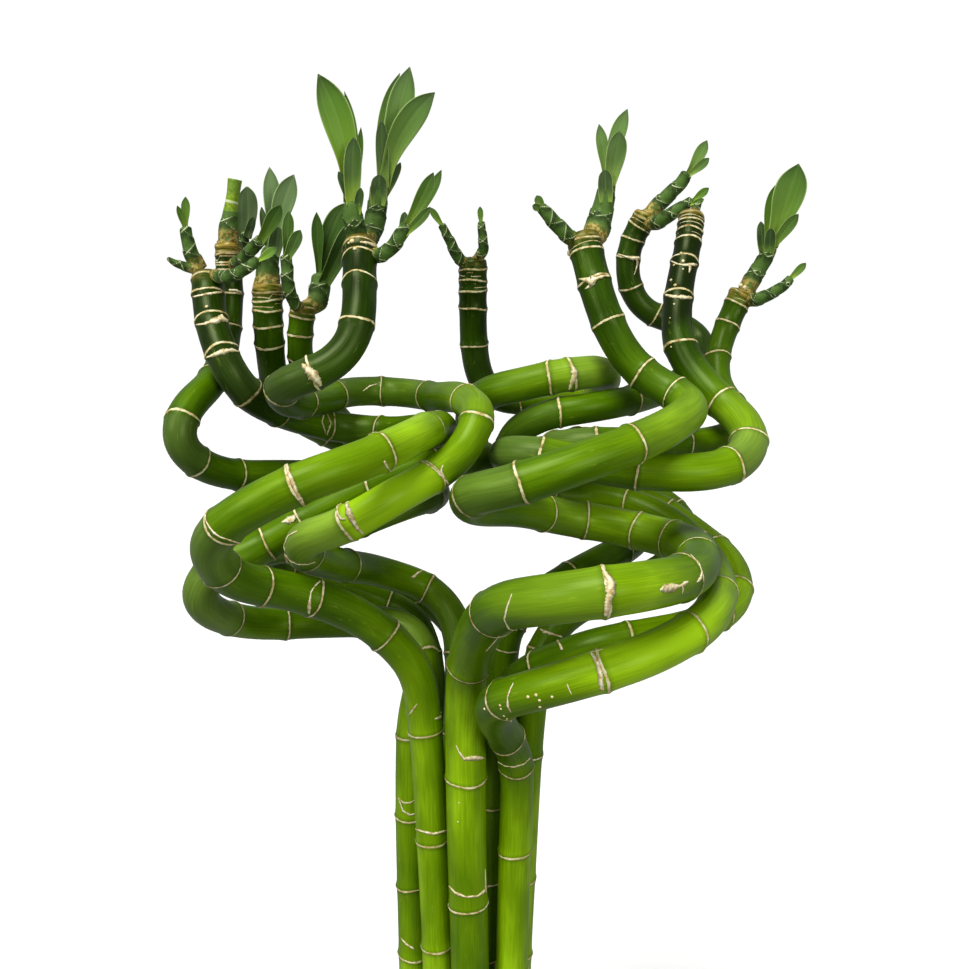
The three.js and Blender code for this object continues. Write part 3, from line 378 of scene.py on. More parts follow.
      (718, 386, 69), (715.5, 360, 77), (724, 332, 83), (743, 290, 86)],
    "rings": [(523, 870), (529, 745), (545, 645), (556, 443), (598, 438), (684, 439), (737, 430),
      (724, 358), (729, 326), (737, 306), (742, 296)],
    "tones_and_painted_light": [(0, 0.85), (0.34, 0.85), (0.4, 0.6), (0.5, 0.55), (0.6, 0.55), (0.7, 0.5), (0.77, 0.55),
      (0.86, 0.5), (0.9, 0.6), (0.95, 0.5), (0.97, 0.42), (1, 0.3)],
    "husk": 0.9,
  },
]
print("stalks:", len(STALKS))

# %% [markdown]
# ## From points to centre lines
#
# A curve object in Blender needs handles that are set by hand. The centripetal curve used here needs
# only its points, and passes through every one without loops or cusps. It is cut into even 3 mm
# steps and eased a little, since a stalk that grew has no sudden bends.

# %% Lines
STEP_ALONG = 3.0
LINE_EASINGS = 6


def sight(across, down, y):
    """The point on a sight line at depth y, in millimetres."""
    a = (across - MIDDLE) / SIGHT
    b = (MIDDLE - down) / SIGHT
    t = (y - EYE[1]) / (COS + SIN * b)
    return np.array([EYE[0] + t * a, y, EYE[2] + t * (COS * b - SIN)])


def ahead(p):
    """How far points lie ahead of the eye, in millimetres."""
    return (p[..., 1] - EYE[1]) * COS - (p[..., 2] - EYE[2]) * SIN


def seen(p):
    """Where points are seen, across and down."""
    far = ahead(p)
    up = (p[..., 1] - EYE[1]) * SIN + (p[..., 2] - EYE[2]) * COS
    return MIDDLE + SIGHT * (p[..., 0] - EYE[0]) / far, MIDDLE - SIGHT * up / far


def blend(t, low, high, a, b):
    """A straight blend from a at low to b at high."""
    return (high - t) / (high - low) * a + (t - low) / (high - low) * b


def smooth_curve(points, parts=24):
    """A centripetal curve through the points, with so many parts between neighbours."""
    p = np.vstack([2 * points[0] - points[1], points, 2 * points[-1] - points[-2]])
    fine = []
    for i in range(1, len(p) - 2):
        p0, p1, p2, p3 = p[i - 1:i + 3]
        t0 = 0.0
        t1 = t0 + np.linalg.norm(p1 - p0) ** 0.5
        t2 = t1 + np.linalg.norm(p2 - p1) ** 0.5
        t3 = t2 + np.linalg.norm(p3 - p2) ** 0.5
        t = np.linspace(t1, t2, parts, endpoint=False)[:, None]
        a2 = blend(t, t1, t2, p1, p2)
        b1 = blend(t, t0, t2, blend(t, t0, t1, p0, p1), a2)
        b2 = blend(t, t1, t3, a2, blend(t, t2, t3, p2, p3))
        fine.append(blend(t, t1, t2, b1, b2))
    return np.vstack(fine + [points[-1:]])


def run_length(points):
    """How far along the line each point is."""
    return np.r_[0, np.cumsum(np.linalg.norm(np.diff(points, axis=0), axis=1))]


def evenly(points, step):
    """The same line in even steps of about this length."""
    at = run_length(points)
    places = np.linspace(0, at[-1], int(round(at[-1] / step)) + 1)
    return np.stack([np.interp(places, at, points[:, k]) for k in range(3)], 1)


def eased(values, times=1):
    """Values along a line, each drawn towards its neighbours so many times."""
    for _ in range(times):
        out = values.copy()
        out[1:-1] = 0.5 * values[1:-1] + 0.25 * (values[:-2] + values[2:])
        values = out
    return values


def knots_at(values, share):
    """Evenly spaced values along a piece, read at shares from 0 to 1."""
    return np.interp(share, np.linspace(0, 1, len(values)), values)


lines = []
for stalk in STALKS:
    points = np.array([np.array(p, float) for p in stalk["foot"]] + [sight(*p) for p in stalk["route"]])
    lines.append(eased(evenly(smooth_curve(points), STEP_ALONG), LINE_EASINGS))
print("lines:", len(lines), "with", sum(len(line) for line in lines), "points")

# %% [markdown]
# ## Room for each stalk
#
# Stalks in a tied bunch lie on each other but never inside each other. A physics run could press them
# apart, but it would come out a little different each time. Here each point is pushed from the point
# that crowds it most, in small moves that are spread along its stalk, until the stalks just clear.

# %% Room for each stalk
RING_RISE = 0.45
REST_GAP = 0.6
# points further apart than this can't touch, nor do points this few steps apart on one stalk
NEAR = 24.0
OWN_SKIP = 9
SETTLE_ROUNDS = 160
ROUNDS_A_LIST = 10
SHIFT_EASINGS = 2
TINY = 1e-9


def near_pairs(at, own, place):
    """Both ways round, the pairs of points that may touch."""
    square = (at ** 2).sum(1)
    apart = square[:, None] + square[None] - 2 * at @ at.T
    first, second = np.nonzero(np.triu(apart < NEAR ** 2, 1))
    keep = (own[first] != own[second]) | (np.abs(place[first] - place[second]) >= OWN_SKIP)
    return np.r_[first[keep], second[keep]], np.r_[second[keep], first[keep]]


def settle(lines):
    """Move stalks that come too close apart, each shift spread along its stalk."""
    home = np.vstack(lines)
    at = home.copy()
    own = np.concatenate([np.full(len(line), k) for k, line in enumerate(lines)])
    place = np.concatenate([np.arange(len(line)) for line in lines])
    shares = [np.linspace(0, 1, len(line)) for line in lines]
    radius = RING_RISE + np.concatenate([knots_at(s["radii"], share) for s, share in zip(STALKS, shares)])
    starts = np.r_[0, np.cumsum([len(line) for line in lines])]
    for round_number in range(SETTLE_ROUNDS):
        if round_number % ROUNDS_A_LIST == 0:
            one, two = near_pairs(at, own, place)
            need = radius[one] + radius[two] + REST_GAP
        way = at[one] - at[two]
        distance = np.sqrt((way ** 2).sum(1)) + TINY
        over = np.maximum(0, need - distance)
        order = np.argsort(over, kind="stable")
        worst = np.full(len(at), -1)
        worst[one[order]] = order
        moved = worst >= 0
        pair = worst[moved]
        push = np.zeros_like(at)
        push[moved] = way[pair] / distance[pair][:, None] * (over[pair] * 0.5)[:, None]
        shift = at - home + push
        for a, b in zip(starts[:-1], starts[1:]):
            shift[a:b] = eased(shift[a:b], SHIFT_EASINGS)
        at = home + shift
    return [at[a:b] for a, b in zip(starts[:-1], starts[1:])], float(over.max())


LINES, left_over = settle(lines)
lengths = [round(run_length(line)[-1]) for line in LINES]
print("stalks from", min(lengths), "to", max(lengths), "mm, closest short by", round(left_over, 2))

# %% [markdown]
# ## Building tubes
#
# A stalk or a shoot is a ring of points carried along its line. The ring's side direction is carried
# from step to step without twist, so lengthwise marks run true. Every point also gets numbers that
# the materials read: its place on the skin in millimetres, and how far it lies from the nearest ring.

# %% Tube helpers
def unit(vectors):
    """Vectors brought to a length of one."""
    return vectors / np.maximum(np.linalg.norm(vectors, axis=-1, keepdims=True), TINY)


def carried_frames(points):
    """Directions along a line and two across it, carried along without twist."""
    along = unit(np.vstack([points[1] - points[0], points[2:] - points[:-2], points[-1] - points[-2]]))
    side = np.array([1.0, 0, 0])
    sides = []
    for t in along:
        side = unit(side - t * side.dot(t))
        sides.append(side)
    sides = np.array(sides)
    return along, sides, np.cross(along, sides)


def round_turns(sides):
    """The angles of so many even places round a circle."""
    return np.linspace(0, 2 * math.pi, sides, endpoint=False)


def tube_points(points, radii, turns):
    """Rings of points: radii has one row a station and one column a side."""
    side, other = carried_frames(points)[1:]
    ring = np.cos(turns)[None, :, None] * side[:, None] + np.sin(turns)[None, :, None] * other[:, None]
    return points[:, None] + radii[:, :, None] * ring


def tube_faces(rows, sides):
    """Faces of a closed tube: four-cornered round the side, one flat face at each end."""
    start = np.arange(rows - 1)[:, None] * sides
    k = np.arange(sides)[None]
    next_k = (k + 1) % sides
    faces = np.stack([start + k, start + next_k, start + sides + next_k, start + sides + k], -1)
    ends = [list(range(sides))[::-1], list(range((rows - 1) * sides, rows * sides))]
    return faces.reshape(-1, 4).tolist() + ends


def skin_places(turns, radii, along):
    """Where each point of a tube lies on its skin, in millimetres, for patterns that follow it."""
    return np.stack([
        np.cos(turns)[None] * radii[:, None], np.sin(turns)[None] * radii[:, None],
        along[:, None] * np.ones(len(turns))], -1)


def joined(forms):
    """Points and faces of several forms as those of one."""
    faces = []
    shift = 0
    for points, own_faces in forms:
        faces += [[i + shift for i in face] for face in own_faces]
        shift += len(points)
    return np.vstack([points for points, own_faces in forms]), faces


def make_piece(name, points_mm, faces, materials, numbers=None, vectors=None, face_materials=None):
    """A smooth-shaded mesh object with its numbers on the points, riding on the root body."""
    mesh = bpy.data.meshes.new(name)
    mesh.from_pydata((np.asarray(points_mm).reshape(-1, 3) * MM).tolist(), [], faces)
    for values, kind, slot in ((numbers, "FLOAT", "value"), (vectors, "FLOAT_VECTOR", "vector")):
        for key, value in (values or {}).items():
            layer = mesh.attributes.new(key, kind, "POINT")
            layer.data.foreach_set(slot, np.asarray(value, np.float32).ravel())
    for material in materials:
        mesh.materials.append(material)
    if face_materials is not None:
        mesh.polygons.foreach_set("material_index", np.asarray(face_materials, np.int32))
    mesh.polygons.foreach_set("use_smooth", np.ones(len(mesh.polygons), bool))
    mesh.update()
    piece = add_object(name, mesh)
    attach(piece, "root")
    return piece


def smooth_step(x):
    """From 0 to 1 with a soft start and a soft end."""
    x = np.clip(x, 0, 1)
    return x * x * (3 - 2 * x)


print("a closed tube of 3 rows and 4 sides has", len(tube_faces(3, 4)), "faces")

# %% [markdown]
# ## Material: living bamboo skin
#
# The skin of a lucky bamboo stalk is a smooth waxy cuticle over soft green tissue, an IOR of about
# 1.45, with a satin gloss. It grew in lengthwise fibres, so it shows faint streaks and flecks along
# the stalk. Its green carries painted light: painted highlights where light falls on the loops and
# painted shade where they lie in shade. Where it bends hard it turns a greyer olive, painted shade and
# reflection, under a faint sheen of waxy bloom. Each ring is the dry scar of a leaf base: thin, cream
# to tan, and a little ragged, with a band of painted shade beside it.

# %% Colours and sizes of the skin
STALK_GREENS = ((0.0, "#0f1f00"), (0.22, "#294500"), (0.48, "#4a6d00"), (0.75, "#6f9400"), (1.0, "#9ecb12"))
BEND_SHADE_GREENS = ((0.0, "#26390f"), (0.5, "#51682a"), (1.0, "#86a246"))
SCAR_TANS = ((0.3, "#977a42"), (0.46, "#cfbc85"), (0.62, "#ece1b8"))
HUSK_TANS = ((0.36, "#4a4a12"), (0.45, "#6f6a20"), (0.52, "#94772f"), (0.58, "#a08c40"), (0.66, "#d0bd80"))

# patterns: marks a millimetre, and how that scale is stretched across and along the stalk. Fibres
# are about 0.5 mm apart and 15 mm long, clouds about 9 mm by 30 mm, and flecks about 2 mm by 6 mm.
SKIN_PATTERNS = {
    "fibres": (2.2, (1.0, 1.0, 0.03), {"Detail": 3.0, "Roughness": 0.6}),
    "clouds": (0.11, (1.0, 1.0, 0.3), {"Detail": 2.0, "Roughness": 0.5}),
    "flecks": (0.55, (1.0, 1.0, 0.3), {"Detail": 4.0, "Roughness": 0.65}),
    "ragged": (0.8, (1.0, 1.0, 1.0), {"Detail": 4.0}),
    "paper": (0.45, (1.0, 1.0, 1.0), {"Detail": 5.0}),
    "husk": (0.7, (0.22, 0.22, 1.0), {"Detail": 4.0, "Roughness": 0.6}),
}
CLOUD_DEPTH = 0.6
STREAK_DEPTH = 0.34
# how much of the greyer olive, painted shade and reflection, goes on hard bends, and the sheen of waxy bloom
# there
BEND_SHADE_SHARE = 0.75
BLOOM_SHEEN = 0.16
# a ring's edge strays by this share of its width
SCAR_WANDER = 1.9
# midway between two rings the signed distance jumps from plus to minus and passes zero, so a scar also
# has to lie within about this plain distance of its ring, in millimetres
SIGN_MARGIN = 1.3
WAX_ROUGH = 0.34
SCAR_ROUGH = 0.8
FIBRE_ROUGH = 0.25
print("patterns:", ", ".join(SKIN_PATTERNS))


# %% [markdown]
# ## How the skin is painted
#
# A flat image would smear where a stalk bends, and it would need a seam. The paint is mixed from
# noise instead, at places that follow the skin in millimetres, so the streaks run along every stalk.
# The layers go on in this order: green first, with its painted highlights and shade, then the greyer
# olive of painted shade on hard bends and the flecks, then a band of painted shade beside each ring,
# the scars and the dry husk of the neck. A little bump lets the light catch the fibres and scars.

# %% Bamboo skin
def bamboo_skin(name):
    """The waxy skin with its scars and husk, which reads the numbers on a stalk's points."""
    skin = bpy.data.materials.new(name)
    tree = empty_tree(skin)
    place = add_node(tree, "ShaderNodeAttribute", attribute_name="skin").outputs["Vector"]
    tone_and_painted_light, bloom_and_painted_shade, neck = [
        add_node(tree, "ShaderNodeAttribute", attribute_name=kind).outputs["Fac"]
        for kind in ("tone_and_painted_light", "bloom_and_painted_shade", "neck")]
    noise = {}
    for kind, (scale, stretch, looks) in SKIN_PATTERNS.items():
        at = add_node(tree, "ShaderNodeVectorMath", {0: place, 1: stretch}, operation="MULTIPLY")
        noise[kind] = add_node(tree, "ShaderNodeTexNoise", {"Vector": at, "Scale": scale, **looks})

    # how light the green is: the stalk's own tone, which holds painted highlights and painted shade,
    # with clouds and streaks either way
    level = add_node(
        tree, "ShaderNodeMath", {0: noise["clouds"], 1: CLOUD_DEPTH, 2: tone_and_painted_light}, operation="MULTIPLY_ADD")
    level = add_node(
        tree, "ShaderNodeMath", {0: noise["fibres"], 1: STREAK_DEPTH, 2: level}, operation="MULTIPLY_ADD")
    level = add_node(
        tree, "ShaderNodeMath", {0: level, 1: (CLOUD_DEPTH + STREAK_DEPTH) / 2}, operation="SUBTRACT")

    # the scars: line a and the second edge b. The signed distance gives a sharp line, and the plain
    # one blots out the change of sign midway between two rings
    masks, away = [], []
    for kind in ("ring_a", "ring_b"):
        ring = add_node(tree, "ShaderNodeAttribute", attribute_name=kind).outputs["Vector"]
        signed, plain, width = add_node(tree, "ShaderNodeSeparateXYZ", {0: ring}).outputs
        signed = add_node(tree, "ShaderNodeMath", {0: signed}, operation="ABSOLUTE")
        plain = add_node(tree, "ShaderNodeMath", {0: plain, 1: SIGN_MARGIN}, operation="SUBTRACT")
        away.append(add_node(tree, "ShaderNodeMath", {0: signed, 1: plain}, operation="MAXIMUM"))
        share = add_node(tree, "ShaderNodeMath", {0: away[-1], 1: width}, operation="DIVIDE")
        masks.append(add_node(
            tree, "ShaderNodeMath", {0: noise["ragged"], 1: SCAR_WANDER, 2: share}, operation="MULTIPLY_ADD"))

    # soft steps: value, where it starts and ends, and what it gives there. shade is painted shade, a
    # darker green band that fades out 2.2 mm from each ring
    half = SCAR_WANDER / 2
    scar_a, scar_b, shade, pale, crinkle = [add_node(tree, "ShaderNodeMapRange", {
        "Value": value, "From Min": low, "From Max": high, "To Min": to_low, "To Max": to_high,
    }, interpolation_type="SMOOTHSTEP") for value, low, high, to_low, to_high in (
        (masks[0], 1.25 + half, 0.75 + half, 0.0, 1.0), (masks[1], 1.25 + half, 0.75 + half, 0.0, 1.0),
        (away[0], 2.2, 0.0, 0.0, 0.45), (noise["flecks"], 0.62, 0.74, 0.0, 0.25),
        (noise["husk"], 0.34, 0.5, 0.0, 1.0))]
    scar = add_node(tree, "ShaderNodeMath", {0: scar_a, 1: scar_b}, operation="MAXIMUM")
    bend_shade = add_node(tree, "ShaderNodeMath", {0: bloom_and_painted_shade, 1: BEND_SHADE_SHARE}, operation="MULTIPLY")
    husked = add_node(tree, "ShaderNodeMath", {0: crinkle, 1: neck}, operation="MULTIPLY")

    colour = add_node(tree, "ShaderNodeValToRGB", {0: level}, STALK_GREENS)
    # over the green: a greyer olive on hard bends as painted shade and reflection, pale flecks, painted shade
    # beside the rings, the scars and the husk
    for factor, over in (
            (bend_shade, add_node(tree, "ShaderNodeValToRGB", {0: level}, BEND_SHADE_GREENS)),
            (pale, linear("#a9c43e")), (shade, linear("#223800")),
            (scar, add_node(tree, "ShaderNodeValToRGB", {0: noise["paper"]}, SCAR_TANS)),
            (husked, add_node(tree, "ShaderNodeValToRGB", {0: noise["husk"]}, HUSK_TANS))):
        colour = add_node(tree, "ShaderNodeMix", {0: factor, 6: colour, 7: over}, data_type="RGBA")

    rough = add_node(tree, "ShaderNodeMapRange", {
        "Value": scar, "To Min": WAX_ROUGH - FIBRE_ROUGH / 2, "To Max": SCAR_ROUGH - FIBRE_ROUGH / 2,
    }, interpolation_type="SMOOTHSTEP")
    rough = add_node(
        tree, "ShaderNodeMath", {0: noise["fibres"], 1: FIBRE_ROUGH, 2: rough}, operation="MULTIPLY_ADD")
    husk_lift = add_node(tree, "ShaderNodeMath", {0: noise["husk"], 1: neck}, operation="MULTIPLY")
    lift = 0.0
    for part, rise in ((noise["fibres"], 0.35), (scar, 1.2), (noise["flecks"], 0.3), (husk_lift, 5.0)):
        lift = add_node(tree, "ShaderNodeMath", {0: part, 1: rise, 2: lift}, operation="MULTIPLY_ADD")
    bump = add_node(tree, "ShaderNodeBump", {"Strength": 0.35, "Distance": 0.0003, "Height": lift})
    sheen = add_node(tree, "ShaderNodeMath", {0: bloom_and_painted_shade, 1: BLOOM_SHEEN}, operation="MULTIPLY")
    shader = add_node(tree, "ShaderNodeBsdfPrincipled", {
        "Base Color": colour, "Roughness": rough, "IOR": 1.45, "Normal": bump,
        "Specular IOR Level": 0.36, "Specular Tint": linear("#cde096"),
        "Sheen Weight": sheen, "Sheen Roughness": 0.35, "Sheen Tint": linear("#dbe8c0")})
    add_node(tree, "ShaderNodeOutputMaterial", {"Surface": shader})
    return skin


BAMBOO = bamboo_skin("waxy_bamboo_skin")
print("material:", BAMBOO.name, "nodes", len(BAMBOO.node_tree.nodes))

# %% [markdown]
# ## Where the rings are
#
# A ring is the place where a leaf once clasped the stalk, every few centimetres. Each ring is known
# by where it is seen, so the nearest place on the stalk's line is sought, from the foot upwards.
# Stretches that can't be seen get rings at the usual spacing, so that no side looks unfinished.

# %% Where the rings are
GRAVEL_TOP = 164
# the lowest ring is the first of every so many steps that lies this far clear of the pebbles, and
# gaps past the longest are filled with rings at the spacing of an internode
FOOT_CLEAR = 14
FOOT_STEP = 20
INTERNODE = 32
LONGEST_GAP = 56
# a ring is sought this near to where it is seen, in pixels, and this many steps past the best place
RING_SEEK = 14.0
RING_SEEK_STEPS = 9
PARTS_OF_STEP = 20


def nearest_place(u, v, best, ring):
    """The place between two steps that is seen nearest to a ring."""
    places = np.linspace(max(best - 1, 0), min(best + 1, len(u) - 1), 2 * PARTS_OF_STEP + 1)
    steps = np.arange(len(u))
    off = np.hypot(np.interp(places, steps, u) - ring[0], np.interp(places, steps, v) - ring[1])
    return places[int(np.argmin(off))]


def ring_places(rings, line):
    """Places along the line, in steps, that carry a ring."""
    u, v = seen(line)
    first = 0
    while line[first][2] < GRAVEL_TOP + FOOT_CLEAR:
        first += FOOT_STEP
    stops = [first]
    start = 0
    for ring in rings:
        best = -1
        least = RING_SEEK
        for i in range(start, len(line) - 1):
            off = math.hypot(u[i] - ring[0], v[i] - ring[1])
            if off < least:
                least = off
                best = i
            elif best >= 0 and i > best + RING_SEEK_STEPS:
                break
        if best >= 0:
            start = best + 1
            place = nearest_place(u, v, best, ring)
            if place > first:
                stops.append(place)
    places = []
    for a, b in zip(stops, stops[1:] + [len(line) - 1]):
        gap = (b - a) * STEP_ALONG
        parts = max(1, round(gap / INTERNODE)) if gap > LONGEST_GAP else 1
        places += [a + (b - a) * j / parts for j in range(parts)]
    return places


RINGS = [ring_places(stalk["rings"], line) for stalk, line in zip(STALKS, LINES)]
print("rings:", sum(len(places) for places in RINGS))

# %% [markdown]
# ## The stalks
#
# Each stalk is a fine tube with 28 sides. It swells a little at each ring and carries the ring's scar
# as a thin raised line. The scar isn't quite square to the stalk and wanders, and on one side the
# leaf's second edge leaves it and comes back, which gives the small loops and forks. Rings could be
# separate loops of mesh, but a ring that is part of the tube's own surface can't come loose.

# %% Stalks
STALK_SIDES = 28
FINE_STEP = 1.15
FINE_PARTS = 6
# how far a ring tilts and waves, in millimetres, and how far and wide its second edge forks off
RING_TILT = (0.1, 0.9)
RING_WAVE = (0.1, 0.35)
FORK_REACH = (1.4, 3.4)
FORK_WIDTH = (1.2, 1.6)
FORK_END = 1.3
FORK_WANDER = 0.4
FORK_SHARE = 0.6
FORK_ROOM = 9
NO_RING = 1e3
# half widths of a scar and of its second edge
RING_HALF_WIDTH = 0.36
FORK_HALF_WIDTH = 0.85 * RING_HALF_WIDTH
# height and half width of the swelling at a ring, of the scar and of its second edge
SWELLING = (0.22, 2.6)
SCAR_RISE = (0.26, RING_HALF_WIDTH + 0.35)
FORK_RISE = (0.14, 0.6)
SKIN_INSET = 0.05
# the top's edge is rounded over this many millimetres
TOP_ROUND = 1.6
TOP_CLOSE = 0.92
# a joint gets waxy bloom and painted grey shade where its bend, as radius over bend radius, is past this
BLOOM_AND_SHADE_FROM = 0.16
BLOOM_AND_SHADE_OVER = 0.22
BEND_EASINGS = 12
TONE_WANDER = 0.06
# husk at a neck ends this far below the top, and fades over the last part
HUSK_LENGTH = 7
HUSK_FADE = 5
SKIN_APART = 1000


def hill(x, height, half_width):
    """A round hill of this height over x = 0."""
    return height * np.exp(-(x / half_width) ** 2)


def signed_distances(s, turns, rings, away_turns, dice):
    """How far each point lies from its nearest ring and from that ring's second edge."""
    a_best = np.full((len(s), len(turns)), NO_RING)
    b_best = a_best.copy()
    for k, at in enumerate(rings):
        room = min(abs(at - other) for j, other in enumerate(rings) if j != k)
        lean = dice.uniform(0, 2 * math.pi)
        tilt = dice.uniform(*RING_TILT)
        wave = dice.uniform(*RING_WAVE)
        edge = at + tilt * np.cos(turns - lean) + wave * np.sin(3 * turns + lean)
        # the second edge leaves the ring on the far side, where the picture doesn't show it
        row = min(int(at / s[-1] * (len(s) - 1)), len(s) - 1)
        fork = away_turns[row] + dice.uniform(-FORK_WANDER, FORK_WANDER)
        reach = dice.uniform(*FORK_REACH) if dice.uniform() < FORK_SHARE and room > FORK_ROOM else 0.0
        turned = (turns - fork + math.pi) % (2 * math.pi) - math.pi
        loop = np.clip(np.cos(turned * dice.uniform(*FORK_WIDTH)), 0, 1) ** 0.8
        loop = np.where(np.abs(turned) < FORK_END, loop, 0)
        off = s[:, None] - edge[None]
        closer = np.abs(off) < np.abs(a_best)
        a_best = np.where(closer, off, a_best)
        b_best = np.where(closer, off - (reach * loop)[None], b_best)
    return a_best, b_best


def build_stalk(number, stalk, line, places, dice):
    """One stalk as one piece. It gives the stalk's fine line and its mean radii."""
    name = f"stalk_{number:02d}"
    fine = evenly(smooth_curve(line, FINE_PARTS), FINE_STEP)
    total = run_length(fine)[-1]
    s = np.linspace(0, total, len(fine))
    turns = round_turns(STALK_SIDES)
    base = knots_at(stalk["radii"], np.linspace(0, 1, len(fine)))
    rings = [place / (len(line) - 1) * total for place in places]
    side, other = carried_frames(fine)[1:]
    to_eye = EYE - fine
    away_turns = np.arctan2((to_eye * other).sum(1), (to_eye * side).sum(1)) + math.pi
    off_a, off_b = signed_distances(s, turns, rings, away_turns, dice)
    rise = hill(off_a, *SWELLING) + hill(off_a, *SCAR_RISE) + hill(off_b, *FORK_RISE)
    radii = base[:, None] + rise - SKIN_INSET
    radii *= np.sqrt(1 - np.clip(1 - (total - s) / TOP_ROUND, 0, TOP_CLOSE) ** 2)[:, None]
    turning = np.gradient(unit(np.gradient(fine, axis=0)), axis=0)
    bend = eased(np.linalg.norm(turning, axis=1) / FINE_STEP * base, BEND_EASINGS)
    # the tone along the stalk: its own green, with painted highlights where light falls on the loops and
    # painted shade where they lie in shade
    tone_and_painted_light = np.interp(s / total, *np.transpose(stalk["tones_and_painted_light"]))
    # hard bends: a faint sheen of waxy bloom and a greyer olive painted as shade and reflection
    bloom_and_painted_shade = np.zeros(len(fine))
    stops = [0.0] + rings + [total]
    for a, b in zip(stops[:-1], stops[1:]):
        joint = (s >= a) & (s <= b)
        if joint.any():
            bloom_and_painted_shade[joint] = smooth_step((bend[joint].mean() - BLOOM_AND_SHADE_FROM) / BLOOM_AND_SHADE_OVER)
            tone_and_painted_light[joint] += dice.uniform(-TONE_WANDER, TONE_WANDER)
    neck = stalk["husk"] * smooth_step((HUSK_LENGTH - (total - s)) / HUSK_FADE)
    rows = np.ones(off_a.shape)
    piece = make_piece(
        name + "_skin", tube_points(fine, radii, turns), tube_faces(len(fine), STALK_SIDES), [BAMBOO],
        numbers={"tone_and_painted_light": tone_and_painted_light[:, None] * rows, "bloom_and_painted_shade": bloom_and_painted_shade[:, None] * rows, "neck": neck[:, None] * rows},
        vectors={
            "skin": skin_places(turns, base, s + SKIN_APART * number),
            "ring_a": np.stack([off_a, np.abs(off_a), RING_HALF_WIDTH * rows], -1),
            "ring_b": np.stack([off_b, np.abs(off_b), FORK_HALF_WIDTH * rows], -1)})
    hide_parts(name)
    return fine, radii.mean(1)


dice = np.random.default_rng(11)
# each stalk's fine line with its radii, for what lies on it
SURFACES = [
    build_stalk(number, stalk, line, places, dice)
    for number, (stalk, line, places) in enumerate(zip(STALKS, LINES, RINGS), 1)]
print("stalks built:", len(SURFACES))

# %% [markdown]
# ## Papery scraps and root dots
#
# Where a leaf base didn't part cleanly, a scrap of it dried on the stalk: a ragged strip along a ring, a
# small flap or a torn patch. Old root tips show as pale dots, about 1 mm wide. Each is placed where it
# is seen, and a sight line finds the spot on its stalk.

